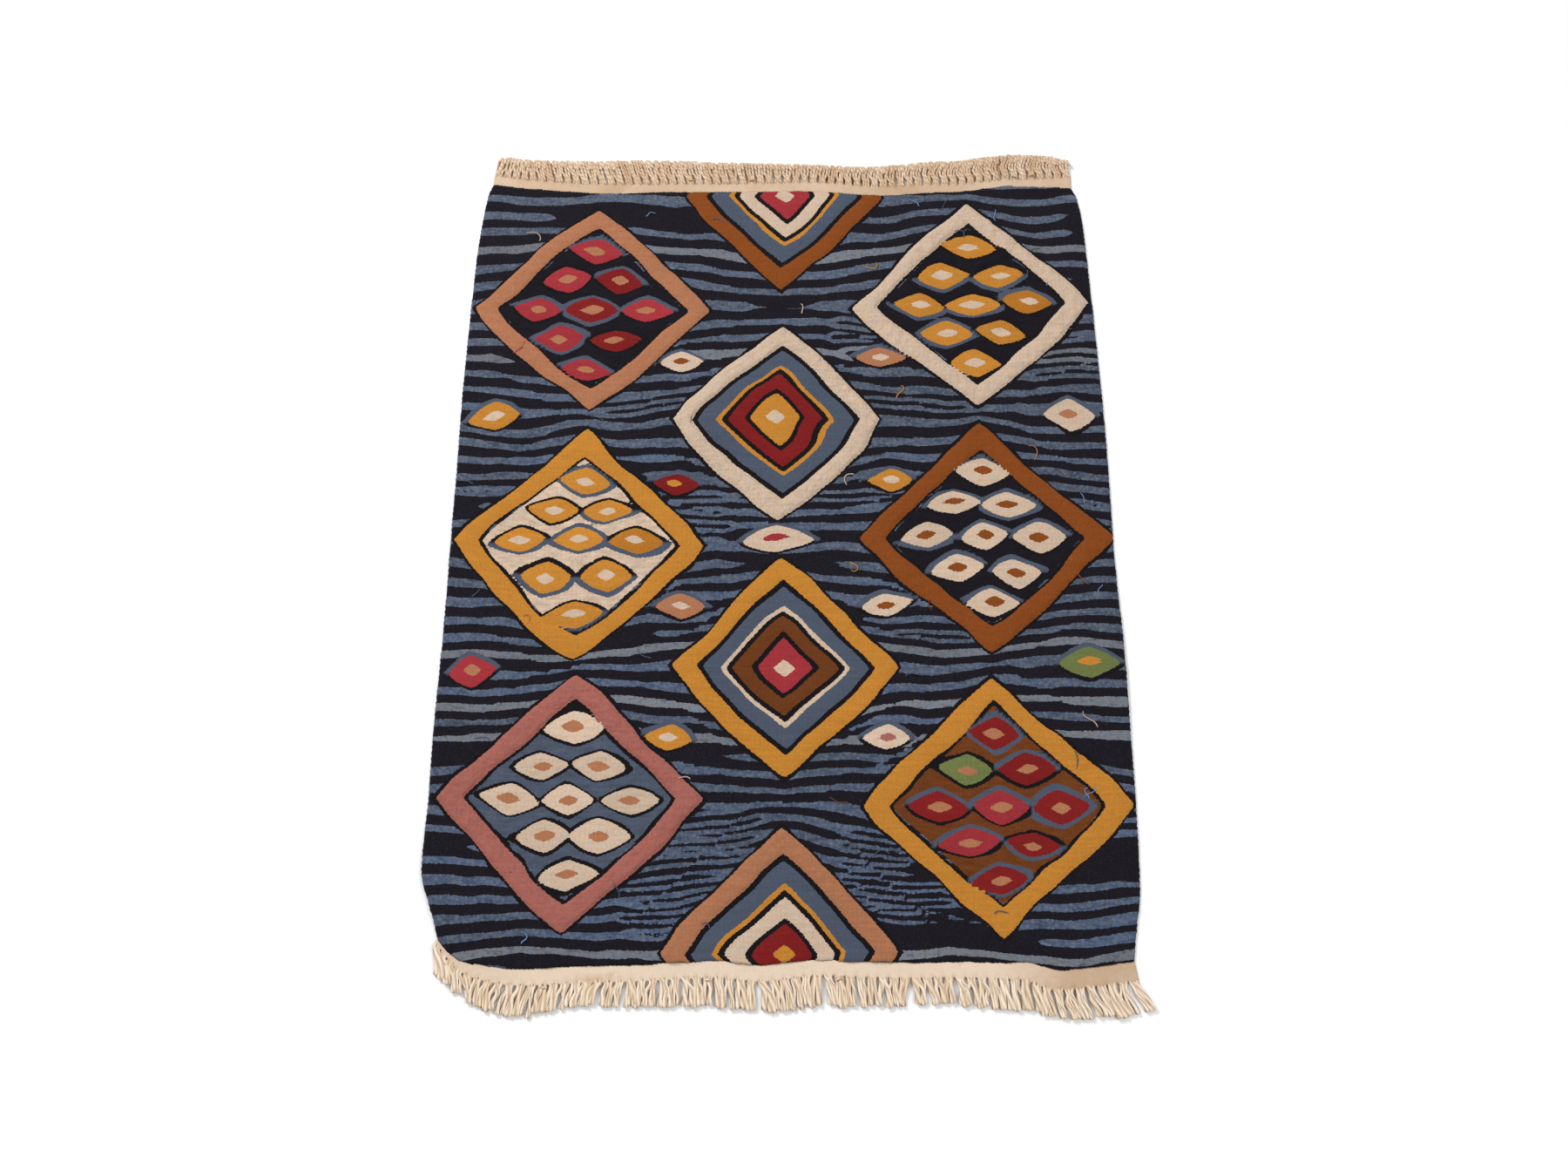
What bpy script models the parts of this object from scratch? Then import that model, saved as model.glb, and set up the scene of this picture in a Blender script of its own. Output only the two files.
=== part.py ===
"""Small flat-woven wool rug lying on a floor.

The rug is woven in one go on a cotton warp: a wool field with plain selvedges,
then a narrow plain cotton heading at each end, and beyond each heading the warp
ends knotted off in a fringe. It is a flat rug and lies flat, with uneven edges and
one near corner that is pulled round.

Sizes in the tables are millimetres in the rug's own plan: x runs across the
rug, y runs along the warp from the near end to the far end, and (0, 0) is the
middle of the wool field. Objects are built in metres, +Z up, on z = 0.
"""

import math
from collections import namedtuple

import bmesh
import bpy

MM = 0.001

# ---------------------------------------------------------------- driving sizes
FIELD_LENGTH = 830.0  # wool field, along the warp
FIELD_THICKNESS = 3.0
HEADING_THICKNESS = 2.4
GAP = 0.3  # clear space between neighbouring solids

COLUMNS = 28  # facets of the cloth across the rug
ROWS = 30  # facets of the cloth along the rug

TASSELS = 66  # knotted tassels at each end
KNOT_DEPTH = 3.6  # the row of knots, measured away from the heading
KNOT_THICKNESS = 4.2
TASSEL_THICKNESS = 3.0
TASSEL_ROOT_SHARE = 0.76  # tassel width at its knot, as a share of the spacing
TASSEL_TIP_SHARE = 0.62  # the same at its tip, counted straight across the rug

# ------------------------------------------------------------------- outline
# How far each selvedge stands from the middle, at a share of the field's length.
Selvedge = namedtuple("Selvedge", "along left right")
SELVEDGES = (
    Selvedge(0.000, -313.0, 318.0),
    Selvedge(0.025, -319.0, 321.0),
    Selvedge(0.045, -325.0, 324.0),
    Selvedge(0.070, -331.5, 327.5),
    Selvedge(0.105, -333.0, 329.5),
    Selvedge(0.160, -332.0, 331.0),
    Selvedge(0.250, -332.5, 331.5),
    Selvedge(0.360, -331.0, 332.0),
    Selvedge(0.470, -331.0, 330.0),
    Selvedge(0.585, -331.0, 331.0),
    Selvedge(0.705, -331.5, 330.5),
    Selvedge(0.830, -329.5, 328.0),
    Selvedge(0.895, -328.0, 326.5),
    Selvedge(0.950, -324.5, 324.5),
    Selvedge(0.985, -321.0, 320.5),
    Selvedge(1.000, -317.0, 315.5),
)

# How the two woven ends wander from a straight line, and how deep each heading
# is, at a share of the width from the left. Positive is towards the far end.
End = namedtuple("End", "across near far near_heading far_heading")
ENDS = (
    End(0.000, 21.0, 9.5, 2.5, 13.5),
    End(0.018, 9.5, 8.5, 4.5, 13.5),
    End(0.040, 1.5, 6.5, 8.5, 13.0),
    End(0.070, -2.0, 4.5, 12.5, 12.5),
    End(0.125, -5.5, 1.5, 14.0, 12.5),
    End(0.200, -3.0, -1.0, 14.5, 12.5),
    End(0.300, -1.0, 0.0, 14.0, 12.0),
    End(0.400, 1.5, 0.0, 14.0, 12.5),
    End(0.460, -2.0, 0.5, 14.0, 13.0),
    End(0.540, 2.5, 1.0, 13.5, 13.0),
    End(0.610, 1.0, -4.0, 13.5, 13.5),
    End(0.670, 0.5, -4.5, 14.0, 13.0),
    End(0.750, 1.0, -1.0, 14.0, 12.0),
    End(0.810, 0.5, -0.5, 14.5, 11.5),
    End(0.850, 0.0, 4.0, 15.5, 10.5),
    End(0.885, -6.0, 8.0, 17.5, 10.0),
    End(0.920, -5.5, 7.0, 17.0, 12.0),
    End(1.000, 1.5, 6.0, 17.0, 15.0),
)

# ------------------------------------------------------------------- fringe
# How long the tassels are and how far their middles and tips lean to the right,
# at a share of the width from the left. The far ones hook over.
Fringe = namedtuple("Fringe", "across length middle_lean tip_lean")
NEAR_FRINGE = (
    Fringe(0.00, 23.0, 5.0, 7.0),
    Fringe(0.03, 18.5, 3.0, 4.2),
    Fringe(0.06, 17.5, 0.5, 1.2),
    Fringe(0.09, 19.5, -1.8, -2.2),
    Fringe(0.12, 22.0, -3.2, -5.2),
    Fringe(0.16, 23.5, -3.0, -6.0),
    Fringe(0.24, 17.5, -1.5, -3.5),
    Fringe(0.32, 20.0, -0.5, -1.5),
    Fringe(0.45, 22.5, 0.5, 0.5),
    Fringe(0.60, 22.5, -0.5, 0.0),
    Fringe(0.73, 19.5, 1.0, 2.0),
    Fringe(0.81, 24.5, 2.0, 3.5),
    Fringe(0.88, 20.5, 2.5, 5.5),
    Fringe(0.94, 23.5, 3.5, 8.0),
    Fringe(1.00, 24.0, 5.0, 11.5),
)
FAR_FRINGE = (
    Fringe(0.00, 17.5, 4.0, 7.0),
    Fringe(0.05, 19.5, -1.0, -2.0),
    Fringe(0.12, 22.0, -3.5, -7.5),
    Fringe(0.28, 25.0, -4.0, -8.5),
    Fringe(0.42, 20.5, -2.5, -5.0),
    Fringe(0.55, 17.0, 0.5, 1.0),
    Fringe(0.66, 20.0, -1.0, 1.5),
    Fringe(0.80, 25.5, -1.5, 3.5),
    Fringe(0.94, 24.0, -2.0, 1.0),
    Fringe(1.00, 15.0, -3.0, -5.0),
)
LENGTH_SPREAD = 2.2  # how unequal neighbouring tassels are


def smooth(rows, column, at):
    """A table's column at a share of the way along, on a smooth curve through its rows."""
    key = rows[0]._fields[0]
    places = [getattr(row, key) for row in rows]
    values = [getattr(row, column) for row in rows]
    at = min(max(at, places[0]), places[-1])
    i = max(k for k in range(len(places) - 1) if places[k] <= at)

    def slope(k):
        low, high = max(k - 1, 0), min(k + 1, len(places) - 1)
        return (values[high] - values[low]) / (places[high] - places[low])

    step = places[i + 1] - places[i]
    t = (at - places[i]) / step
    return (
        (2 * t**3 - 3 * t**2 + 1) * values[i]
        + (t**3 - 2 * t**2 + t) * step * slope(i)
        + (3 * t**2 - 2 * t**3) * values[i + 1]
        + (t**3 - t**2) * step * slope(i + 1)
    )


def field_point(across, along):
    """Plan position of a point of the wool field, from its shares of the width and length."""
    left, right = smooth(SELVEDGES, "left", along), smooth(SELVEDGES, "right", along)
    near = -FIELD_LENGTH / 2 + smooth(ENDS, "near", across)
    far = FIELD_LENGTH / 2 + smooth(ENDS, "far", across)
    return left + across * (right - left), near + along * (far - near)


def end_curve(which):
    """The woven end of the field as a run of straight facets."""
    along = 0.0 if which == "near" else 1.0
    return [field_point(k / COLUMNS, along) for k in range(COLUMNS + 1)]


def outward(points, side, distances):
    """A run of points moved away from the rug by a distance for each point."""
    moved = []
    for k, (x, y) in enumerate(points):
        ax, ay = points[max(k - 1, 0)]
        bx, by = points[min(k + 1, len(points) - 1)]
        length = math.hypot(bx - ax, by - ay)
        nx, ny = -(by - ay) / length * side, (bx - ax) / length * side
        moved.append((x + nx * distances[k], y + ny * distances[k]))
    return moved


def heading_edges(which):
    """The inner and outer edges of a heading, facet for facet beside the field."""
    side = -1 if which == "near" else 1
    end = end_curve(which)
    depth = [
        smooth(ENDS, which + "_heading", k / COLUMNS) for k in range(COLUMNS + 1)
    ]
    inner = outward(end, side, [GAP] * len(end))
    outer = outward(end, side, [GAP + d for d in depth])
    return inner, outer


def station(points, share):
    """Where a share of a run's length falls, counted in facets from its left end."""
    steps = [math.dist(a, b) for a, b in zip(points, points[1:])]
    left = min(max(share, 0.0), 1.0) * sum(steps)
    for k, step in enumerate(steps):
        if left <= step:
            return k + left / step
        left -= step
    return float(len(steps))


def at_station(points, where):
    k = min(int(where), len(points) - 2)
    (ax, ay), (bx, by) = points[k], points[k + 1]
    return ax + (where - k) * (bx - ax), ay + (where - k) * (by - ay)


def material(name, colour, roughness):
    made = bpy.data.materials.new(name)
    made.use_nodes = True
    shader = made.node_tree.nodes["Principled BSDF"]
    shader.inputs["Base Color"].default_value = (*colour, 1.0)
    shader.inputs["Roughness"].default_value = roughness
    shader.inputs["Metallic"].default_value = 0.0
    made.diffuse_color = (*colour, 1.0)
    return made


def thicken(bm, thickness_of):
    """Raises a copy of every face and walls it round, which makes a closed solid of a sheet."""
    thickness = {v: thickness_of[v] for v in bm.verts}
    raised = bmesh.ops.extrude_face_region(
        bm, geom=list(bm.faces), use_keep_orig=True
    )
    tops = [g for g in raised["geom"] if isinstance(g, bmesh.types.BMVert)]
    below = {
        (round(v.co.x, 9), round(v.co.y, 9), round(v.co.z, 9)): t
        for v, t in thickness.items()
    }
    for top in tops:
        key = (round(top.co.x, 9), round(top.co.y, 9), round(top.co.z, 9))
        top.co.z += below[key] * MM
    bmesh.ops.recalc_face_normals(bm, faces=bm.faces)


def finish(bm, name, origin, made, parent):
    """Puts a mesh in an object whose origin is at a plan position, under the rug's empty."""
    bmesh.ops.translate(bm, verts=bm.verts, vec=(-origin[0] * MM, -origin[1] * MM, 0))
    bmesh.ops.triangulate(bm, faces=bm.faces)
    mesh = bpy.data.meshes.new(name)
    bm.to_mesh(mesh)
    bm.free()
    mesh.materials.append(made)
    obj = bpy.data.objects.new(name, mesh)
    bpy.context.scene.collection.objects.link(obj)
    obj.parent = parent
    obj.location = (origin[0] * MM, origin[1] * MM, 0)
    mesh.shade_smooth()
    mesh.set_sharp_from_angle(angle=math.radians(35))
    return obj


def make_field(parent, made):
    bm = bmesh.new()
    bmesh.ops.create_grid(bm, x_segments=COLUMNS, y_segments=ROWS, size=0.5)
    thickness = {}
    for v in bm.verts:
        x, y = field_point(v.co.x + 0.5, v.co.y + 0.5)
        v.co = (x * MM, y * MM, 0.0)
        thickness[v] = FIELD_THICKNESS
    thicken(bm, thickness)
    return finish(bm, "rug_field", (0.0, 0.0), made, parent)


def make_heading(which, parent, made):
    inner, outer = heading_edges(which)
    bm = bmesh.new()
    runs = []
    for run in (inner, outer):
        runs.append([bm.verts.new((x * MM, y * MM, 0.0)) for x, y in run])
    for k in range(COLUMNS):
        bm.faces.new((runs[0][k], runs[0][k + 1], runs[1][k + 1], runs[1][k]))
    thicken(bm, {v: HEADING_THICKNESS for v in bm.verts})
    side = -1 if which == "near" else 1
    origin = (0.0, side * FIELD_LENGTH / 2)
    return finish(bm, "heading_" + which, origin, made, parent)


def make_fringe(which, table, parent, made):
    """The knotted warp ends of one end as a comb: a row of knots with a tassel from each."""
    side = -1 if which == "near" else 1
    _, edge = heading_edges(which)
    inner = outward(edge, side, [GAP] * len(edge))
    outer = outward(edge, side, [GAP + KNOT_DEPTH] * len(edge))
    bm = bmesh.new()
    thickness = {}

    def corner(point, thick):
        x, y = point
        v = bm.verts.new((x * MM, y * MM, 0.0))
        thickness[v] = thick
        return v

    def root(i, share):
        return station(outer, (i + 0.5 + share / 2) / TASSELS)

    roots = [
        (root(i, -TASSEL_ROOT_SHARE), root(i, TASSEL_ROOT_SHARE))
        for i in range(TASSELS)
    ]
    # The knots keep the corners of the heading's facets, so that both follow one line.
    stations = sorted({float(k) for k in range(COLUMNS + 1)} | {s for r in roots for s in r})
    bottom = [corner(at_station(inner, s), KNOT_THICKNESS) for s in stations]
    top = [corner(at_station(outer, s), KNOT_THICKNESS) for s in stations]
    for k in range(len(stations) - 1):
        bm.faces.new((bottom[k], bottom[k + 1], top[k + 1], top[k]))
    for i, (low, high) in enumerate(roots):
        share = (i + 0.5) / TASSELS
        before = [v for s, v in zip(stations, top) if low <= s <= high]
        x = (before[0].co.x + before[-1].co.x) / 2 / MM
        y = (before[0].co.y + before[-1].co.y) / 2 / MM
        left, right = at_station(outer, root(i, -1)), at_station(outer, root(i, 1))
        width = TASSEL_TIP_SHARE * (right[0] - left[0])
        uneven = math.sin(i * 2.399) + 0.6 * math.sin(i * 0.913 + 1.7)
        length = smooth(table, "length", share) + LENGTH_SPREAD * 0.6 * uneven
        steps = (
            (0.55, smooth(table, "middle_lean", share)),
            (1.00, smooth(table, "tip_lean", share)),
        )
        for reach, lean in steps:
            cx, cy = x + lean, y + side * (length * reach)
            after = [
                corner((cx - width / 2, cy), TASSEL_THICKNESS),
                corner((cx + width / 2, cy), TASSEL_THICKNESS),
            ]
            bm.faces.new((*before, *reversed(after)))
            before = after
    bmesh.ops.recalc_face_normals(bm, faces=bm.faces)
    thicken(bm, thickness)
    origin = (0.0, side * FIELD_LENGTH / 2)
    return finish(bm, "fringe_" + which, origin, made, parent)


def main():
    for old in list(bpy.data.objects):
        bpy.data.objects.remove(old, do_unlink=True)

    wool = material("wool_field", (0.022, 0.028, 0.062), 0.95)
    heading = material("cotton_heading", (0.70, 0.57, 0.42), 0.9)
    cord = material("cotton_fringe", (0.76, 0.64, 0.50), 0.88)

    rug = bpy.data.objects.new("rug", None)
    bpy.context.scene.collection.objects.link(rug)
    pieces = [
        make_field(rug, wool),
        make_heading("near", rug, heading),
        make_heading("far", rug, heading),
        make_fringe("near", NEAR_FRINGE, rug, cord),
        make_fringe("far", FAR_FRINGE, rug, cord),
    ]

    # The rug's footprint is centred on the origin.
    corners = [
        (v.co.x + piece.location.x, v.co.y + piece.location.y)
        for piece in pieces
        for v in piece.data.vertices
    ]
    for axis in (0, 1):
        low, high = min(c[axis] for c in corners), max(c[axis] for c in corners)
        rug.location[axis] = -(low + high) / 2


main()
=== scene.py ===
"""The looks of a small flat-woven wool rug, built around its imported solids.

The wool field is one closed sheet with a real rib for each warp. Its design is
worked out here as distances to the woven shapes, so that every edge stays crisp
and takes the teeth of the weave in the material. The headings are finer sheets,
and the fringes are knots and plied cords. Plan sizes are millimetres, with
(0, 0) in the middle of the wool field, as in the solids' own source.
"""

import math
from collections import namedtuple

import bpy
import numpy as np
from mathutils import Matrix, Vector

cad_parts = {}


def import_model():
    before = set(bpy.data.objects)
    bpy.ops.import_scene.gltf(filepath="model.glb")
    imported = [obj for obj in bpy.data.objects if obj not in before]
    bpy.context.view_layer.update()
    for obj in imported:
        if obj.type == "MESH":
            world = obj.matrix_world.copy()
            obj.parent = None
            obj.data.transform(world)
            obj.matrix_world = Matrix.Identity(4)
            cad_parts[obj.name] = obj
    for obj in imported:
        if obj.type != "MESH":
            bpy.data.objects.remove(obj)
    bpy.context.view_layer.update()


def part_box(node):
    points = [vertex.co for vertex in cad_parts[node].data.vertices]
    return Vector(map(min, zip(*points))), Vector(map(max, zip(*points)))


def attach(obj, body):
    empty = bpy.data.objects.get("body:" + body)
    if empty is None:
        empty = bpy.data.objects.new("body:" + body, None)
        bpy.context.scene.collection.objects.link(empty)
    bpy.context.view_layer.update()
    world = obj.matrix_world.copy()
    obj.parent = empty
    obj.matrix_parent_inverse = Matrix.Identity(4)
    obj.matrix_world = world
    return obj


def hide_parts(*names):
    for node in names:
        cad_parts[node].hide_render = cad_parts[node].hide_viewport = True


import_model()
MM = 0.001

# ------------------------------------------------------------------ plan sizes
FIELD_LENGTH = 830.0
FIELD_THICKNESS = 3.0
HEADING_THICKNESS = 2.4
GAP = 0.3
CAD_COLUMNS, CAD_ROWS = 28, 30

Selvedge = namedtuple("Selvedge", "along left right")
SELVEDGES = (
    Selvedge(0.000, -313.0, 318.0),
    Selvedge(0.025, -319.0, 321.0),
    Selvedge(0.045, -325.0, 324.0),
    Selvedge(0.070, -331.5, 327.5),
    Selvedge(0.105, -333.0, 329.5),
    Selvedge(0.160, -332.0, 331.0),
    Selvedge(0.250, -332.5, 331.5),
    Selvedge(0.360, -331.0, 332.0),
    Selvedge(0.470, -331.0, 330.0),
    Selvedge(0.585, -331.0, 331.0),
    Selvedge(0.705, -331.5, 330.5),
    Selvedge(0.830, -329.5, 328.0),
    Selvedge(0.895, -328.0, 326.5),
    Selvedge(0.950, -324.5, 324.5),
    Selvedge(0.985, -321.0, 320.5),
    Selvedge(1.000, -317.0, 315.5),
)

End = namedtuple("End", "across near far near_heading far_heading")
ENDS = (
    End(0.000, 21.0, 9.5, 2.5, 13.5),
    End(0.018, 9.5, 8.5, 4.5, 13.5),
    End(0.040, 1.5, 6.5, 8.5, 13.0),
    End(0.070, -2.0, 4.5, 12.5, 12.5),
    End(0.125, -5.5, 1.5, 14.0, 12.5),
    End(0.200, -3.0, -1.0, 14.5, 12.5),
    End(0.300, -1.0, 0.0, 14.0, 12.0),
    End(0.400, 1.5, 0.0, 14.0, 12.5),
    End(0.460, -2.0, 0.5, 14.0, 13.0),
    End(0.540, 2.5, 1.0, 13.5, 13.0),
    End(0.610, 1.0, -4.0, 13.5, 13.5),
    End(0.670, 0.5, -4.5, 14.0, 13.0),
    End(0.750, 1.0, -1.0, 14.0, 12.0),
    End(0.810, 0.5, -0.5, 14.5, 11.5),
    End(0.850, 0.0, 4.0, 15.5, 10.5),
    End(0.885, -6.0, 8.0, 17.5, 10.0),
    End(0.920, -5.5, 7.0, 17.0, 12.0),
    End(1.000, 1.5, 6.0, 17.0, 15.0),
)

# Low ripples in the cloth, each a soft ridge.
Ripple = namedtuple("Ripple", "x y half_length half_width turn height")
RIPPLES = (
    Ripple(-272.0, -366.0, 105.0, 52.0, -34.0, 4.8),
    Ripple(262.0, -398.0, 80.0, 44.0, 84.0, 3.2),
    Ripple(222.0, 366.0, 95.0, 44.0, -58.0, 4.0),
    Ripple(150.0, 352.0, 78.0, 40.0, 68.0, 3.6),
    Ripple(66.0, 402.0, 72.0, 46.0, 86.0, 3.2),
    Ripple(-296.0, 64.0, 130.0, 48.0, 84.0, 2.8),
    Ripple(300.0, -118.0, 120.0, 46.0, 97.0, 3.6),
    Ripple(-46.0, 150.0, 150.0, 64.0, 22.0, 2.2),
    Ripple(96.0, -176.0, 130.0, 60.0, -18.0, 2.2),
    Ripple(-190.0, 342.0, 110.0, 50.0, 12.0, 2.4),
)

# Small tucks where the wefts were pulled tight.
PUCKERS = (
    Ripple(221.0, 372.0, 15.0, 6.0, 64.0, 2.6),
    Ripple(236.0, 342.0, 17.0, 6.5, 100.0, 3.0),
    Ripple(214.0, 322.0, 12.0, 5.5, 40.0, 2.2),
    Ripple(252.0, 306.0, 16.0, 6.0, 118.0, 2.6),
    Ripple(262.0, 352.0, 12.0, 5.0, 20.0, 1.8),
    Ripple(190.0, 352.0, 12.0, 5.5, 150.0, 1.8),
    Ripple(286.0, -222.0, 15.0, 6.0, 76.0, 2.2),
    Ripple(298.0, -176.0, 12.0, 5.5, 110.0, 1.8),
    Ripple(-304.0, 214.0, 13.0, 5.5, 96.0, 1.6),
    Ripple(-120.0, -152.0, 14.0, 5.5, 88.0, 1.8),
)

Fringe = namedtuple("Fringe", "across length middle lean")
NEAR_FRINGE = (
    Fringe(0.00, 23.0, 5.0, 7.0),
    Fringe(0.03, 18.5, 3.0, 4.2),
    Fringe(0.06, 17.5, 0.5, 1.2),
    Fringe(0.09, 19.5, -1.8, -2.2),
    Fringe(0.12, 22.0, -3.2, -5.2),
    Fringe(0.16, 23.5, -3.0, -6.0),
    Fringe(0.24, 17.5, -1.5, -3.5),
    Fringe(0.32, 20.0, -0.5, -1.5),
    Fringe(0.45, 22.5, 0.5, 0.5),
    Fringe(0.60, 22.5, -0.5, 0.0),
    Fringe(0.73, 19.5, 1.0, 2.0),
    Fringe(0.81, 24.5, 2.0, 3.5),
    Fringe(0.88, 20.5, 2.5, 5.5),
    Fringe(0.94, 23.5, 3.5, 8.0),
    Fringe(1.00, 24.0, 5.0, 11.5),
)
FAR_FRINGE = (
    Fringe(0.00, 17.5, 4.0, 7.0),
    Fringe(0.05, 19.5, -1.0, -2.0),
    Fringe(0.12, 22.0, -3.5, -7.5),
    Fringe(0.28, 25.0, -4.0, -8.5),
    Fringe(0.42, 20.5, -2.5, -5.0),
    Fringe(0.55, 17.0, 0.5, 1.0),
    Fringe(0.66, 20.0, -1.0, 1.5),
    Fringe(0.80, 25.5, -1.5, 3.5),
    Fringe(0.94, 24.0, -2.0, 1.0),
    Fringe(1.00, 15.0, -3.0, -5.0),
)
TASSELS = 66
KNOT_DEPTH = 3.6

# ---------------------------------------------------------------- fine sizes
WARPS = 160  # warps across the rug, with two columns of facets each
FIELD_ROWS = 280  # rows of facets along the field
BEADS = 296  # weft beads along one warp
RIB_HEIGHT = 0.15


def srgb(code):
    """A colour code as linear red, green, blue."""
    parts = [int(code[i : i + 2], 16) / 255 for i in (1, 3, 5)]
    return tuple(p / 12.92 if p <= 0.04045 else ((p + 0.055) / 1.055) ** 2.4 for p in parts)


YARN = {
    "navy": srgb("#18151c"),
    "ink": srgb("#151216"),
    "slate": srgb("#4b5465"),
    "blue": srgb("#45536d"),
    "grey": srgb("#71757c"),
    "sky": srgb("#6f8fbd"),
    "gold": srgb("#bd7f31"),
    "amber": srgb("#b07127"),
    "ivory": srgb("#cab39e"),
    "crimson": srgb("#9c3139"),
    "wine": srgb("#7a1c1d"),
    "clay": srgb("#a97152"),
    "rose": srgb("#a3635a"),
    "brown": srgb("#693919"),
    "rust": srgb("#84461b"),
    "green": srgb("#687243"),
}


# ------------------------------------------------------------------ plan maths
def smooth(rows, column, at):
    """A table's column at shares of the way along, on a smooth curve through its rows."""
    key = rows[0]._fields[0]
    places = np.array([getattr(row, key) for row in rows])
    values = np.array([getattr(row, column) for row in rows])
    at = np.clip(np.asarray(at, float), places[0], places[-1])
    i = np.clip(np.searchsorted(places, at, side="right") - 1, 0, len(places) - 2)
    low = np.maximum(np.arange(len(places)) - 1, 0)
    high = np.minimum(np.arange(len(places)) + 1, len(places) - 1)
    slope = (values[high] - values[low]) / (places[high] - places[low])
    step = places[i + 1] - places[i]
    t = (at - places[i]) / step
    return (
        (2 * t**3 - 3 * t**2 + 1) * values[i]
        + (t**3 - 2 * t**2 + t) * step * slope[i]
        + (3 * t**2 - 2 * t**3) * values[i + 1]
        + (t**3 - t**2) * step * slope[i + 1]
    )


def lift(x, y, rows=RIPPLES):
    """Height of the cloth's underside above the floor."""
    height = np.zeros(np.broadcast(x, y).shape)
    for ripple in rows:
        turn = math.radians(ripple.turn)
        dx, dy = x - ripple.x, y - ripple.y
        along = (dx * math.cos(turn) + dy * math.sin(turn)) / ripple.half_length
        aside = (dy * math.cos(turn) - dx * math.sin(turn)) / ripple.half_width
        bump = np.clip(1 - along**2, 0, 1) ** 2 * np.clip(1 - aside**2, 0, 1) ** 2
        height = height + ripple.height * bump
    return height


def field_point(across, along):
    left, right = smooth(SELVEDGES, "left", along), smooth(SELVEDGES, "right", along)
    near = -FIELD_LENGTH / 2 + smooth(ENDS, "near", across)
    far = FIELD_LENGTH / 2 + smooth(ENDS, "far", across)
    return left + across * (right - left), near + along * (far - near)


def value_noise(x, y, seed):
    """Smooth noise from -1 to 1, with one lump for each unit of x and y."""
    x, y = np.broadcast_arrays(np.asarray(x, float), np.asarray(y, float))
    xi, yi = np.floor(x).astype(np.int64), np.floor(y).astype(np.int64)
    fx, fy = x - xi, y - yi
    ux = fx * fx * fx * (fx * (fx * 6 - 15) + 10)
    uy = fy * fy * fy * (fy * (fy * 6 - 15) + 10)

    def lattice(a, b):
        h = (a * 73856093) ^ (b * 19349663) ^ (seed * 83492791)
        h = ((h ^ (h >> 13)) * 1274126177) & 0xFFFFFFFF
        return ((h ^ (h >> 16)) & 0xFFFF) / 32767.5 - 1

    low = lattice(xi, yi) * (1 - ux) + lattice(xi + 1, yi) * ux
    high = lattice(xi, yi + 1) * (1 - ux) + lattice(xi + 1, yi + 1) * ux
    return low * (1 - uy) + high * uy


# The plan's place in the frame: the field's solid says where it went.
_a, _b = np.meshgrid(np.linspace(0, 1, CAD_COLUMNS + 1), np.linspace(0, 1, CAD_ROWS + 1))
_x, _y = field_point(_a, _b)
_low, _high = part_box("rug_field")
SHIFT = np.array(
    [
        (_low.x + _high.x) / 2 - (_x.min() + _x.max()) / 2 * MM,
        (_low.y + _high.y) / 2 - (_y.min() + _y.max()) / 2 * MM,
    ]
)


def world(x, y, z):
    """Plan millimetres to metres in the frame."""
    return np.stack([x * MM + SHIFT[0], y * MM + SHIFT[1], z * MM], axis=-1)


# --------------------------------------------------------------------- design
# The woven design: a generic layout of diamonds in a half drop, in curved tapestry
# weave. Each outer diamond is a band round small lozenges, and each middle one is a
# nest of bands.
Group = namedtuple("Group", "x y band bed fills bar upper lower raised")
GROUPS = (
    Group(-200, 268, "clay", "navy", ("crimson", "crimson", "wine"), "clay", "slate", "ink", 0.45),
    Group(201, 272, "ivory", "navy", ("gold", "gold", "amber"), "ivory", "ink", "slate", 1.0),
    Group(-202, -3, "gold", "ivory", ("gold", "amber", "gold"), "ivory", "ink", "slate", 0.1),
    Group(201, 4, "rust", "navy", ("ivory", "ivory", "ivory"), "rust", "slate", "ink", 0.6),
    Group(-198, -266, "rose", "slate", ("ivory", "ivory", "ivory"), "clay", "ink", "ink", 1.0),
    Group(202, -270, "gold", "brown", ("wine", "green", "wine", "crimson"), "clay", "slate", "ink", 0.2),
)
Nest = namedtuple("Nest", "x y first second third heart middle raised")
NESTS = (
    Nest(2, 408, "rust", "gold", "ivory", "crimson", "ivory", 0.2),
    Nest(-3, 135, "ivory", "gold", "wine", "gold", "ivory", 1.0),
    Nest(3, -133, "gold", "ivory", "brown", "crimson", "ivory", 0.2),
    Nest(-1, -408, "clay", "gold", "ivory", "wine", "gold", 0.6),
)
# Each band of a nest, by its distance in from the outer edge, and how much of its
# inner side is blue.
Course = namedtuple("Course", "start stop blue colour")
COURSES = (
    Course(0.0, 15.8, 0.0, "first"),
    Course(20.2, 37.4, 3.8, "second"),
    Course(41.8, 54.0, 0.0, "third"),
)
Accent = namedtuple("Accent", "x y wide high fill bar")
ACCENTS = (
    Accent(-297, 136, 28, 17, "gold", "ivory"),
    Accent(-299, -137, 28, 17, "crimson", "clay"),
    Accent(299, 139, 28, 17, "ivory", "clay"),
    Accent(299, -133, 28, 17, "green", "gold"),
    Accent(0, 1, 34, 15, "ivory", "crimson"),
    Accent(-103, 202, 23, 12, "ivory", "rust"),
    Accent(105, 206, 23, 12, "clay", "ivory"),
    Accent(-106, 66, 23, 12, "wine", "gold"),
    Accent(103, 68, 23, 12, "gold", "ivory"),
    Accent(-102, -69, 23, 12, "clay", "ivory"),
    Accent(104, -65, 23, 12, "ivory", "rust"),
    Accent(-104, -203, 23, 12, "gold", "ivory"),
    Accent(102, -204, 23, 12, "ivory", "rose"),
)
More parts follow.
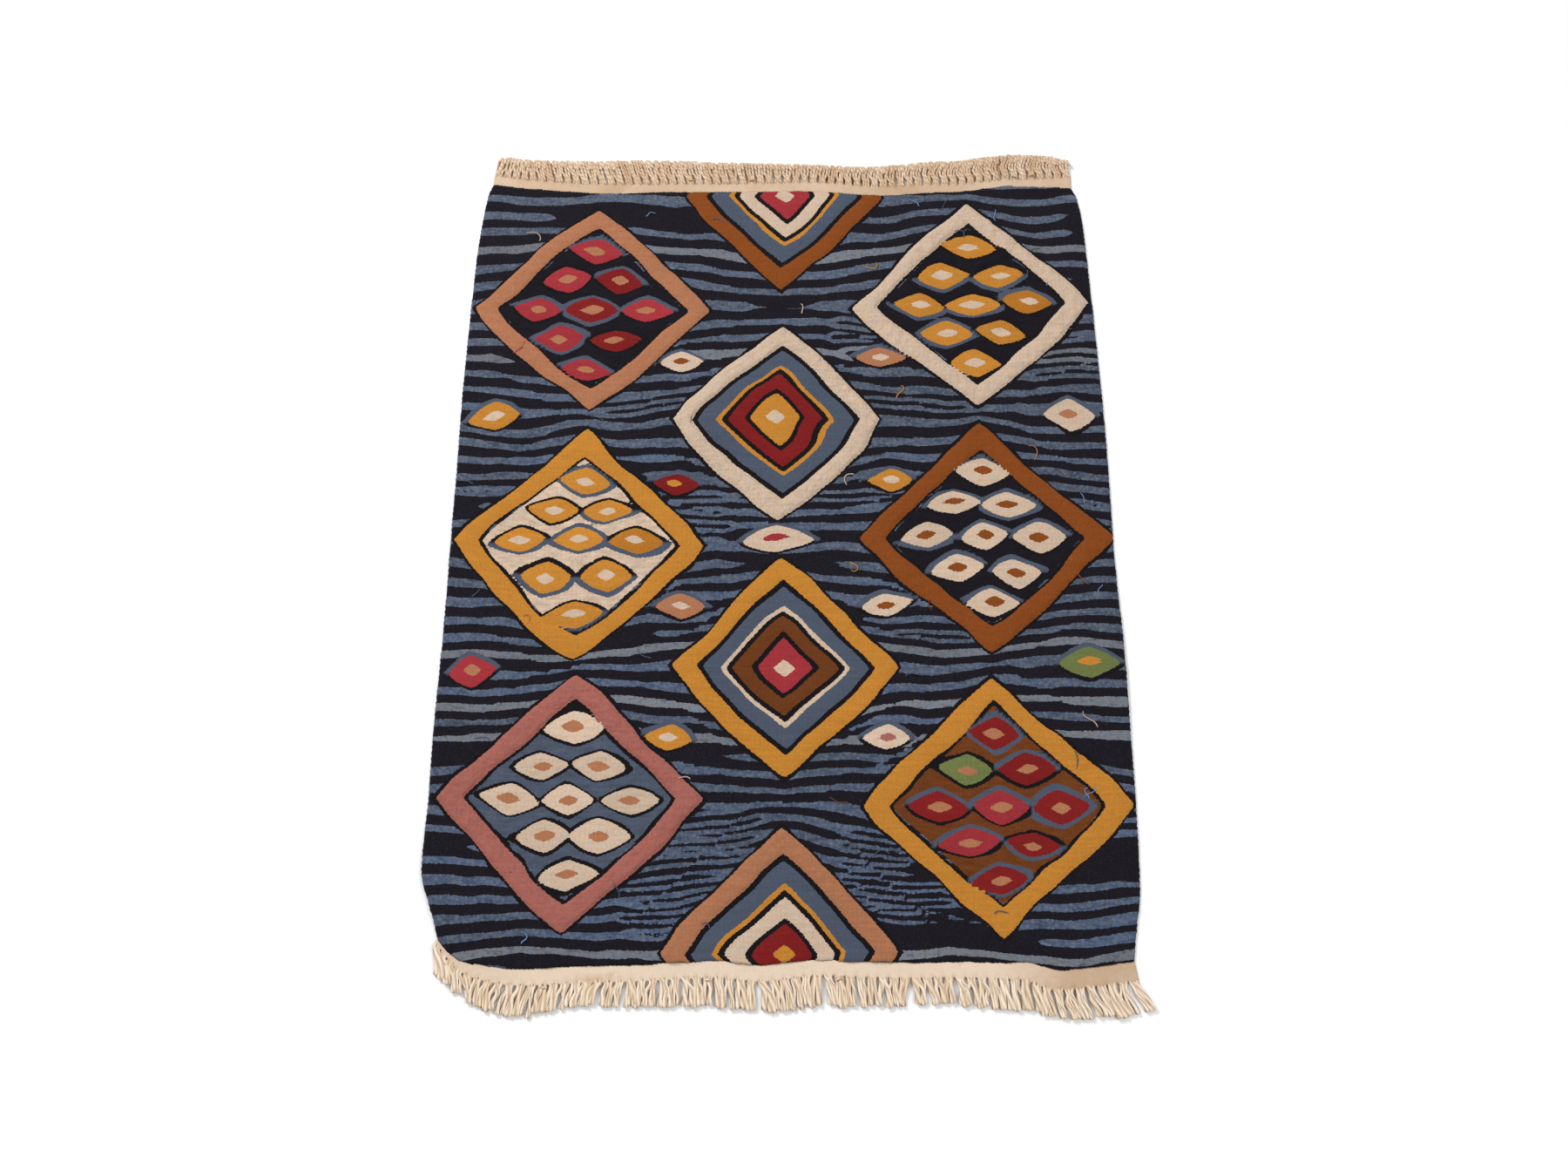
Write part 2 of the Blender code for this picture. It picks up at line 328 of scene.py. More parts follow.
# Where every streak is forked: half-sizes of rounded patches.
Patch = namedtuple("Patch", "x y wide high")
FORKED = (
    Patch(-88, -322, 78, 78),
    Patch(108, -336, 62, 58),
    Patch(-100, 30, 54, 40),
    Patch(98, 232, 48, 42),
)
GROUP_WIDE, GROUP_HIGH = 97.0, 95.0  # half-diagonals of the bed inside a band
POD_PITCH_X, POD_PITCH_Y = 58.0, 36.0
POD_WIDE, POD_HIGH = 27.5, 15.0
BAND = 17.0
NEST_WIDE, NEST_HIGH = 107.0, 112.0
LINE = 2.7  # contour line round every shape


def diamond(dx, dy, wide, high, power=1.0):
    """Roughly the distance in mm to a diamond's edge, negative inside. A power over 1 swells its sides."""
    r = (np.abs(dx / wide) ** power + np.abs(dy / high) ** power) ** (1 / power)
    return (r - 1) * wide * high / math.hypot(wide, high)


class Design:
    """The design's distances and colours at plan points."""

    def __init__(self, x, y):
        # The weaver's hand: nothing is quite straight.
        self.x = x + 4.6 * value_noise(x / 84, y / 76, 11) + 1.5 * value_noise(x / 27, y / 21, 12)
        self.y = y + 4.2 * value_noise(x / 88, y / 71, 13) + 1.5 * value_noise(x / 29, y / 19, 14)
        shape = x.shape
        self.edge = np.full(shape, 99.0)
        self.core = np.full(shape, 99.0)
        self.bed = np.full(shape, 99.0)
        self.outer = np.full(shape, 99.0)  # to the nearest whole group
        self.middle = np.zeros(shape)  # and that group's middle line
        self.raised = np.zeros(shape)
        self.weight = np.zeros(shape)  # extra thickness of the contour line
        self.fill = np.zeros(shape + (3,))
        self.bar = np.zeros(shape + (3,))
        self.line = np.zeros(shape + (3,))
        self.ground = np.zeros(shape + (3,))
        self.line[:] = YARN["ink"]
        for k, group in enumerate(GROUPS):
            self.add_group(k, group)
        for k, nest in enumerate(NESTS):
            self.add_nest(k, nest)
        for k, accent in enumerate(ACCENTS):
            self.add_pod(
                accent.x, accent.y, accent.wide, accent.high,
                accent.fill, accent.bar, "slate", "ink", 40 + k, accent.y,
            )
        self.rim = self.edge - LINE - self.weight - 1.3 * value_noise(x / 29, y / 15, 15)
        self.streaks(x, y)

    def take(self, distance, fill, bar, core, upper, lower, dy, raised=0.0, lot=1.0):
        """Where this shape is the nearest, it gives its colours."""
        near = distance < self.edge
        self.edge = np.where(near, distance, self.edge)
        self.core = np.where(near, np.maximum(core, distance), self.core)
        self.raised = np.where(near, raised, self.raised)
        self.fill[near] = np.array(YARN[fill]) * lot
        self.bar[near] = YARN[bar]
        for part, colour in ((near & (dy >= 0), upper), (near & (dy < 0), lower)):
            self.line[part] = YARN[colour]
            self.weight[part] = 0.0 if colour == "ink" else 1.0

    def around(self, distance, middle):
        near = distance < self.outer
        self.outer = np.where(near, distance, self.outer)
        self.middle = np.where(near, middle, self.middle)

    def add_pod(self, cx, cy, wide, high, fill, bar, upper, lower, seed, middle=None):
        """A rounded lozenge with one fuller end, and a smaller one inside it."""

        def chance(row):
            return float(value_noise(seed * 1.73 + 0.37 * row, row * 2.9 + 0.3, 5))

        dx, dy = self.x - cx - 2.6 * chance(0), self.y - cy - 1.6 * chance(1)
        turn = 0.15 * chance(2)
        dx, dy = dx * math.cos(turn) + dy * math.sin(turn), dy * math.cos(turn) - dx * math.sin(turn)
        wide, high = wide * (1 + 0.09 * chance(3)), high * (1 + 0.10 * chance(4))
        dy = dy + 1.8 * chance(5) * (1 - (dx / wide) ** 2)
        fuller = 1 + 0.18 * chance(6) * np.tanh(1.6 * dx / wide)
        distance = diamond(dx, dy / fuller, wide, high, 1.28)
        along, across = dx - 2.2 * chance(7), dy - 1.2 * chance(12)
        across = across - 0.12 * chance(8) * along
        core = diamond(along, across, wide * (0.42 + 0.07 * chance(9)), high * (0.34 + 0.06 * chance(13)), 1.25)
        self.take(distance, fill, bar, core, upper, lower, dy, lot=1 + 0.12 * chance(10))
        if middle is not None:
            self.around(distance, cy)

    def add_group(self, k, group):
        dx, dy = self.x - group.x, self.y - group.y
        ring = diamond(dx, dy, GROUP_WIDE, GROUP_HIGH, 1.08)
        inside = ring < self.bed
        self.bed = np.where(inside, ring, self.bed)
        self.ground[inside] = YARN[group.bed]
        self.around(ring - BAND - LINE, group.y)
        half = BAND / 2 + 1.6 * value_noise(self.x / 41, self.y / 37, 16)
        band = np.abs(ring - LINE - BAND / 2) - half
        self.take(band, group.band, group.band, np.full_like(band, 99.0), "ink", "ink", dy, group.raised)
        for row in range(-2, 3):
            count = 3 - abs(row)
            for n in range(count):
                seed = k * 11 + row * 3 + n + 7
                self.add_pod(
                    group.x + (n - (count - 1) / 2) * POD_PITCH_X,
                    group.y + row * POD_PITCH_Y,
                    POD_WIDE, POD_HIGH,
                    group.fills[seed % len(group.fills)],
                    group.bar,
                    group.upper if (seed * 7) % 5 else group.lower,
                    group.lower if (seed * 5) % 4 else group.upper,
                    seed,
                )

    def add_nest(self, k, nest):
        dx, dy = self.x - nest.x, self.y - nest.y
        ring = diamond(dx, dy, NEST_WIDE, NEST_HIGH, 1.10)
        self.around(ring, nest.y)
        inside = ring < self.bed
        self.bed = np.where(inside, ring, self.bed)
        self.ground[inside] = YARN["navy"]
        inner = ring + 1.6 * value_noise(self.x / 37, self.y / 33, 17)
        for n, course in enumerate(COURSES):
            half = (course.stop - course.start) / 2
            band = np.abs(inner + (course.start + course.stop) / 2) - half
            fill = bar = getattr(nest, course.colour)
            strip = np.full_like(band, 99.0 if n else -99.0)
            if course.blue:
                bar = "slate"
                strip = -inner - course.stop + course.blue + 0.7 * value_noise(self.x / 19, self.y / 17, 18)
            self.take(band, fill, bar, strip, "ink", "ink", dy, nest.raised if n == 0 else 0.0)
        heart = inner + COURSES[-1].stop + LINE + 1.5
        small = diamond(dx, dy, 10.5, 8.5, 1.15)
        self.take(heart, nest.heart, nest.middle, small, "ink", "ink", dy)

    def streaks(self, x, y):
        """Wavy blue weft streaks on the ground, pressed aside by the shapes they pass."""
        side = np.tanh((y - self.middle) / 14)
        press = np.exp(-np.clip(self.outer, 0, None) / 19)
        bent = (
            y
            - side * 5.0 * press
            + 6.5 * value_noise(x / 125, y / 140, 21)
            + 3.4 * value_noise(x / 54, y / 62, 22)
            + 0.8 * value_noise(x / 17, y / 26, 23)
            # They climb towards the near left corner, along the pulled edge.
            + 16.0 * np.clip((-x - 235) / 95, 0, 1) ** 1.6 * np.clip((-y - 330) / 80, 0, 1)
        )
        share = np.clip((bent + FIELD_LENGTH / 2) / FIELD_LENGTH, -0.1, 1.1)
        # Streaks lie about 22 mm apart at the far end and 16 mm at the near end, and
        # in places they fork into two.
        near_gap, far_gap = 16.0, 22.5
        growth = math.log(far_gap / near_gap)
        turns = FIELD_LENGTH / near_gap / growth * (1 - np.exp(-growth * share))
        gap = near_gap * np.exp(growth * share)
        order = np.floor(turns)
        fork = 3.0 * (value_noise(x / 150, order * 0.61, 33) - 0.50)
        for patch in FORKED:
            reach = 1 - np.abs((x - patch.x) / patch.wide) ** 3 - np.abs((y - patch.y) / patch.high) ** 3
            fork = np.maximum(fork, 1.6 * (reach + 0.5 * value_noise(x / 60, order * 1.9, 30)))
        fork = np.clip(fork, 0, 1) ** 2 * (3 - 2 * np.clip(fork, 0, 1))
        place = turns - order - 0.5 - 0.11 * value_noise(x / 64, order * 0.59, 31)
        offset = np.minimum(np.abs(place + 0.25 * fork), np.abs(place - 0.25 * fork)) * gap
        swell = value_noise(x / 46, order * 1.37, 25) + 0.5 * value_noise(x / 19, order * 2.3, 26)
        present = value_noise(x / 175, order * 0.83, 24)
        ends = np.clip((present + 0.60) / 0.10, 0, 1)
        width = gap * ((0.228 + 0.050 * swell) * (1 - fork) + (0.132 + 0.030 * swell) * fork)
        self.streak = width * np.sqrt(ends) - 1.2 * (1 - ends) - offset
        tone = value_noise(x / 150, order * 0.71, 27) + 0.45 * value_noise(x / 60, order * 1.9, 28)
        pale = value_noise(x / 2600, order * 0.77, 29) > 0.72
        blend = np.clip(0.26 + 0.45 * tone - 1.1 * (share - 0.5), 0, 1)[..., None]
        self.streak_colour = np.array(YARN["slate"]) * (1 - blend) + np.array(YARN["blue"]) * blend
        self.streak_colour[pale] = YARN["grey"]
        self.streak_colour = self.streak_colour * (1 + 0.22 * tone[..., None])


# ------------------------------------------------------------------ node maths
class Shade:
    """One material, built node by node."""

    def __init__(self, name, roughness, sheen=0.0, specular=0.15):
        self.material = bpy.data.materials.new(name)
        self.material.use_nodes = True
        self.tree = self.material.node_tree
        self.shader = self.tree.nodes["Principled BSDF"]
        self.set("Roughness", roughness)
        self.set("Specular IOR Level", specular)
        self.set("Sheen Weight", sheen)
        self.set("Sheen Roughness", 0.55)

    def set(self, socket, value):
        self.wire(value, self.shader.inputs[socket])

    def wire(self, value, socket):
        if isinstance(value, bpy.types.NodeSocket):
            self.tree.links.new(value, socket)
        elif isinstance(value, tuple) and len(value) == 3 and socket.type == "RGBA":
            socket.default_value = (*value, 1.0)
        else:
            socket.default_value = value

    def node(self, kind, **settings):
        made = self.tree.nodes.new(kind)
        for key, value in settings.items():
            setattr(made, key, value)
        return made

    def math(self, operation, a, b=0.0, c=None, clamp=False):
        made = self.node("ShaderNodeMath", operation=operation, use_clamp=clamp)
        self.wire(a, made.inputs[0])
        self.wire(b, made.inputs[1])
        if c is not None:
            self.wire(c, made.inputs[2])
        return made.outputs[0]

    def mix(self, factor, a, b, blend="MIX"):
        made = self.node("ShaderNodeMix", data_type="RGBA", blend_type=blend)
        self.wire(factor, made.inputs["Factor"])
        self.wire(a, made.inputs[6])
        self.wire(b, made.inputs[7])
        return made.outputs[2]

    def fact(self, name):
        return self.node("ShaderNodeAttribute", attribute_name=name).outputs["Fac"]

    def colour(self, name):
        return self.node("ShaderNodeAttribute", attribute_name=name).outputs["Color"]

    def weave(self, name="weave"):
        uv = self.node("ShaderNodeUVMap", uv_map=name)
        split = self.node("ShaderNodeSeparateXYZ")
        self.wire(uv.outputs[0], split.inputs[0])
        return split.outputs[0], split.outputs[1]

    def vector(self, x, y, z=0.0):
        made = self.node("ShaderNodeCombineXYZ")
        for k, v in enumerate((x, y, z)):
            self.wire(v, made.inputs[k])
        return made.outputs[0]

    def noise(self, vector, scale, detail=2.0, rough=0.5):
        made = self.node("ShaderNodeTexNoise", noise_dimensions="3D")
        self.wire(vector, made.inputs["Vector"])
        made.inputs["Scale"].default_value = scale
        made.inputs["Detail"].default_value = detail
        made.inputs["Roughness"].default_value = rough
        return made.outputs["Fac"]

    def white(self, vector):
        made = self.node("ShaderNodeTexWhiteNoise", noise_dimensions="3D")
        self.wire(vector, made.inputs["Vector"])
        return made.outputs["Value"]

    def place(self):
        return self.node("ShaderNodeTexCoord").outputs["Object"]

    def remap(self, value, low, high, to_low, to_high, smooth_it=False):
        made = self.node(
            "ShaderNodeMapRange", interpolation_type="SMOOTHSTEP" if smooth_it else "LINEAR"
        )
        for socket, v in zip(made.inputs, (value, low, high, to_low, to_high)):
            self.wire(v, socket)
        return made.outputs[0]

    def scale(self, colour, factor):
        made = self.node("ShaderNodeVectorMath", operation="SCALE")
        self.wire(colour, made.inputs[0])
        self.wire(factor, made.inputs["Scale"])
        return made.outputs[0]

    def bump(self, height, distance, strength=1.0):
        made = self.node("ShaderNodeBump")
        made.inputs["Strength"].default_value = strength
        made.inputs["Distance"].default_value = distance
        self.wire(height, made.inputs["Height"])
        self.wire(made.outputs[0], self.shader.inputs["Normal"])
        return made


def bead_pattern(s, u, v, bead_power=0.7):
    """The weft bead under a point: its random number, and a pillow that is 1 at its middle."""
    warp = s.math("FLOOR", u)
    stagger = s.math("MULTIPLY", s.math("MODULO", warp, 2.0), 0.5)
    shifted = s.math("ADD", v, stagger)
    bead = s.math("FLOOR", shifted)
    across = s.math("SINE", s.math("MULTIPLY", s.math("FRACT", u), math.pi))
    along = s.math("SINE", s.math("MULTIPLY", s.math("FRACT", shifted), math.pi))
    rib = s.math("POWER", across, 0.6)
    pillow = s.math("MULTIPLY", rib, s.math("POWER", along, bead_power))
    return warp, bead, pillow, rib


def wool_material():
    s = Shade("wool_weave", roughness=0.95, sheen=0.02, specular=0.1)
    u, v = s.weave()
    warp, bead, pillow, rib = bead_pattern(s, u, v)
    chance = s.white(s.vector(warp, bead, 3.0))
    place = s.place()
    run = s.noise(s.vector(s.math("MULTIPLY", u, 0.09), v), 1.0, 1.0)
    speck = s.noise(place, 760.0, 2.0, 0.65)
    tuft = s.noise(place, 300.0, 2.0, 0.6)
    cloud = s.noise(place, 14.0, 3.0)
    # Edges take the teeth of the weave: each bead carries its colour a little further.
    tooth = s.math(
        "ADD",
        s.math("MULTIPLY", s.math("SUBTRACT", pillow, 0.6), 0.5),
        s.math("MULTIPLY", s.math("SUBTRACT", chance, 0.5), 0.4),
    )
    tooth = s.math("ADD", tooth, s.math("MULTIPLY", s.math("SUBTRACT", speck, 0.5), 1.1))
    edge = s.math("ADD", s.fact("edge"), tooth)
    core = s.math("ADD", s.fact("core"), tooth)
    bed = s.math("ADD", s.fact("bed"), tooth)
    rough = s.math("ADD", tooth, s.math("MULTIPLY", s.math("SUBTRACT", tuft, 0.5), 1.6))
    streak = s.math("ADD", s.fact("streak"), s.math("MULTIPLY", rough, 0.75))
    rim = s.math("ADD", s.fact("rim"), tooth)

    # Dyed wool is never even: the blues drift to grey and green, the others lighter and darker.
    drift = s.noise(s.vector(s.math("MULTIPLY", u, 0.30), s.math("MULTIPLY", v, 0.55)), 1.0, 2.0, 0.6)
    ground = s.mix(s.remap(speck, 0.52, 0.76, 0.0, 0.5), YARN["navy"], srgb("#2f3140"))
    blues = s.mix(s.remap(drift, 0.42, 0.74, 0.0, 0.62), s.colour("streak_colour"), srgb("#676f7e"))
    blues = s.mix(s.remap(drift, 0.46, 0.26, 0.0, 0.60), blues, srgb("#343e52"))
    blues = s.mix(s.remap(tuft, 0.50, 0.72, 0.0, 0.55), blues, srgb("#6e7a8d"))
    blues = s.mix(s.remap(tuft, 0.46, 0.30, 0.0, 0.35), blues, srgb("#2c3445"))
    bedding = s.scale(s.colour("ground"), s.remap(drift, 0.3, 0.7, 0.84, 1.18))
    colour = s.mix(s.math("GREATER_THAN", streak, 0.0), ground, blues)
    colour = s.mix(s.math("LESS_THAN", bed, 0.0), colour, bedding)
    colour = s.mix(s.math("LESS_THAN", rim, 0.0), colour, s.colour("line"))
    colour = s.mix(s.math("LESS_THAN", edge, 0.0), colour, s.colour("fill"))
    colour = s.mix(s.math("LESS_THAN", core, 0.0), colour, s.colour("bar"))

    # Warm and cool mottles a few wefts high.
    mottle = s.noise(s.vector(s.math("MULTIPLY", u, 0.55), s.math("MULTIPLY", v, 0.75), 5.0), 1.0, 2.0, 0.6)
    warm = s.node("ShaderNodeVectorMath", operation="MULTIPLY")
    s.wire(colour, warm.inputs[0])
    warm.inputs[1].default_value = (1.07, 0.95, 0.82)
    cool = s.node("ShaderNodeVectorMath", operation="MULTIPLY")
    s.wire(colour, cool.inputs[0])
    cool.inputs[1].default_value = (0.94, 1.03, 1.12)
    colour = s.mix(s.remap(mottle, 0.32, 0.68, 0.0, 1.0), cool.outputs[0], warm.outputs[0])
    tone = s.math("ADD", 0.36, s.math("MULTIPLY", run, 0.26))
    tone = s.math("ADD", tone, s.math("MULTIPLY", chance, 0.03))
    tone = s.math("ADD", tone, s.math("MULTIPLY", cloud, 0.16))
    tone = s.math("ADD", tone, s.math("MULTIPLY", speck, 0.50))
    tone = s.math("ADD", tone, s.math("MULTIPLY", tuft, 0.26))
    # Painted shade: the wool darkens a little in the hollows between the warps and between the beads.
    shade = s.math("MULTIPLY", s.remap(rib, 0.15, 0.85, 0.965, 1.0), s.remap(pillow, 0.0, 0.5, 0.988, 1.0))
    colour = s.scale(colour, s.math("MULTIPLY", tone, shade))
    s.set("Base Color", colour)

    lumps = s.noise(place, 210.0, 2.0, 0.6)
    fibre = s.noise(s.vector(s.math("MULTIPLY", u, 1.6), s.math("MULTIPLY", v, 3.2)), 1.0, 3.0, 0.6)
    height = s.math("ADD", s.math("MULTIPLY", pillow, 0.06), s.math("MULTIPLY", rib, 0.08))
    height = s.math("ADD", height, s.math("MULTIPLY", fibre, 0.45))
    height = s.math("ADD", height, s.math("MULTIPLY", speck, 0.50))
    height = s.math(
        "ADD", height, s.math("MULTIPLY", lumps, s.math("ADD", 0.15, s.math("MULTIPLY", s.fact("raised"), 2.2)))
    )
    s.bump(height, 0.0007, 1.0)
    return s.material


def cotton_material(name, stains):
    s = Shade(name, roughness=0.92, sheen=0.03, specular=0.1)
    u, v = s.weave()
    warp, bead, pillow, rib = bead_pattern(s, u, v, 0.9)
    place = s.place()
    chance = s.white(s.vector(warp, bead, 9.0))
    cloud = s.noise(place, 22.0, 3.0, 0.6)
    fine = s.noise(place, 700.0, 2.0, 0.6)
    clean, soiled_and_shaded = srgb("#e3ceb8"), srgb("#b28f6c")
    # The cotton is mixed towards brown by one fact that holds both dirt and painted shade.
    colour = s.mix(s.math("MULTIPLY", s.fact("soil_and_shade"), s.remap(cloud, 0.3, 0.7, 0.55, 1.0)), clean, soiled_and_shaded)
    if stains:
        spot = s.noise(place, 55.0, 2.0, 0.7)
        colour = s.mix(s.remap(spot, 0.66, 0.80, 0.0, 0.35), colour, srgb("#a58a66"))
    tone = s.math("ADD", 0.84, s.math("MULTIPLY", cloud, 0.14))
    tone = s.math("ADD", tone, s.math("MULTIPLY", chance, 0.05))
    tone = s.math("ADD", tone, s.math("MULTIPLY", fine, 0.14))
    # Painted shade: the cotton darkens a little in the hollows between the warps and between the beads.
    shade = s.math("MULTIPLY", s.remap(rib, 0.2, 0.9, 0.982, 1.0), s.remap(pillow, 0.0, 0.5, 0.992, 1.0))
    s.set("Base Color", s.scale(colour, s.math("MULTIPLY", tone, shade)))
    height = s.math("ADD", s.math("MULTIPLY", pillow, 0.09), s.math("MULTIPLY", fine, 0.7))
    s.bump(height, 0.00025, 1.0)
    return s.material


def cord_material(name, light, deep):
    s = Shade(name, roughness=0.9, sheen=0.03, specular=0.1)
    u, v = s.weave()
    place = s.place()
    own = s.fact("own")
    # u runs round the cord and v along it in millimetres, so fibres follow the twist.
    lay = s.vector(s.math("MULTIPLY", s.math("ADD", u, s.math("MULTIPLY", v, 0.11)), 8.0), s.math("MULTIPLY", v, 0.3), own)
    fibre = s.noise(lay, 1.0, 3.0, 0.6)
    fine = s.noise(place, 1100.0, 2.0, 0.6)
    colour = s.mix(own, light, deep)
    # Painted shade in the grooves between the plies.
    colour = s.mix(s.math("MULTIPLY", s.math("POWER", s.fact("groove"), 1.6), 0.75), colour, srgb("#ad8763"))
    # Painted shade: the hidden undersides of the cords darken to brown, and so do their roots by the heading.
    colour = s.mix(s.remap(s.fact("under"), 0.16, 0.52, 0.0, 0.9, True), colour, srgb("#8a6a49"))
    colour = s.mix(s.math("MULTIPLY", s.fact("root"), 0.35), colour, srgb("#a47c5a"))
    tone = s.math("ADD", 0.82, s.math("MULTIPLY", fibre, 0.26))
    tone = s.math("ADD", tone, s.math("MULTIPLY", fine, 0.10))
    s.set("Base Color", s.scale(colour, tone))
    s.bump(s.math("ADD", fibre, s.math("MULTIPLY", fine, 0.4)), 0.0003, 1.0)
    return s.material


def yarn_material():
    s = Shade("wool_yarn_ends", roughness=0.94, sheen=0.1)
    place = s.place()
    fibre = s.noise(place, 1300.0, 3.0, 0.6)
    tone = s.math("ADD", 0.75, s.math("MULTIPLY", fibre, 0.45))
    s.set("Base Color", s.scale(s.colour("yarn"), tone))
    s.bump(fibre, 0.0003, 1.0)
    return s.material


# ---------------------------------------------------------------------- meshes
def mesh_object(name, vertices, faces, material, uv=None, facts=None, colours=None):
    """An object from arrays. faces is a list of arrays of corner numbers; facts are per vertex, and colours per vertex or per face."""
    mesh = bpy.data.meshes.new(name)
    loops = np.concatenate([f.reshape(-1) for f in faces]).astype(np.int32)
    totals = np.concatenate([np.full(len(f), f.shape[1]) for f in faces]).astype(np.int32)
    starts = np.concatenate([[0], np.cumsum(totals)[:-1]]).astype(np.int32)
    mesh.vertices.add(len(vertices))
    mesh.vertices.foreach_set("co", np.asarray(vertices, np.float32).reshape(-1))
    mesh.loops.add(len(loops))
    mesh.loops.foreach_set("vertex_index", loops)
    mesh.polygons.add(len(totals))
    mesh.polygons.foreach_set("loop_start", starts)
    mesh.polygons.foreach_set("loop_total", totals)
    mesh.polygons.foreach_set("use_smooth", np.ones(len(totals), bool))
    mesh.update(calc_edges=True)
    if uv is not None:
        layer = mesh.uv_layers.new(name="weave")
        layer.data.foreach_set("uv", np.asarray(uv, np.float32)[loops].reshape(-1))
    for key, values in (facts or {}).items():
        layer = mesh.attributes.new(key, "FLOAT", "POINT")
        layer.data.foreach_set("value", np.asarray(values, np.float32).reshape(-1))
    for key, values in (colours or {}).items():
        values = np.asarray(values, np.float32)
        layer = mesh.attributes.new(key, "FLOAT_COLOR", "CORNER")
        rgba = np.ones((len(loops), 4), np.float32)
        rgba[:, :3] = values[loops] if len(values) == len(vertices) else np.repeat(values, totals, axis=0)
        layer.data.foreach_set("color", rgba.reshape(-1))
    mesh.validate(clean_customdata=False)
    mesh.materials.append(material)
    obj = bpy.data.objects.new(name, mesh)
    bpy.context.scene.collection.objects.link(obj)
    return obj


def sheet_faces(rows, columns, every_row, every_column):
    """Faces of a closed sheet: a fine top grid, a coarser underside, and walls between. Returns the faces and the grid places of the underside's points."""
    n_row, n_col = rows + 1, columns + 1
    top = np.arange(n_row * n_col).reshape(n_row, n_col)
    quads = np.stack([top[:-1, :-1], top[:-1, 1:], top[1:, 1:], top[1:, :-1]], axis=-1).reshape(-1, 4)
    under_rows = np.unique(np.append(np.arange(0, rows + 1, every_row), rows))
    under_columns = np.unique(np.append(np.arange(0, columns + 1, every_column), columns))
    under = (n_row * n_col + np.arange(len(under_rows) * len(under_columns))).reshape(
        len(under_rows), len(under_columns)
    )
    below = np.stack([under[:-1, :-1], under[1:, :-1], under[1:, 1:], under[:-1, 1:]], axis=-1).reshape(-1, 4)
    walls = {}

    def wall(upper, a, b):
        face = [*upper[::-1], a, b]
        walls.setdefault(len(face), []).append(face)

    for k in range(len(under_columns) - 1):
        low, high = under_columns[k], under_columns[k + 1]
        wall(list(top[0, low : high + 1]), under[0, k], under[0, k + 1])
        wall(list(top[-1, low : high + 1])[::-1], under[-1, k + 1], under[-1, k])
    for k in range(len(under_rows) - 1):
        low, high = under_rows[k], under_rows[k + 1]
        wall(list(top[low : high + 1, 0])[::-1], under[k + 1, 0], under[k, 0])
        wall(list(top[low : high + 1, -1]), under[k, -1], under[k + 1, -1])
    faces = [quads, below] + [np.array(w) for w in walls.values()]
    return faces, under_rows, under_columns


def end_teeth(columns_at, seed):
    """How far the field's last wefts reach over or short of the plan line, by warp."""
    warp = np.floor(columns_at * WARPS)
    crest = np.sin(np.pi * (columns_at * WARPS - warp))
    return 0.5 * (crest - 0.5) + 0.7 * value_noise(warp * 0.77, 0.5, seed) + 0.6 * value_noise(warp * 0.21, 0.5, seed + 5)


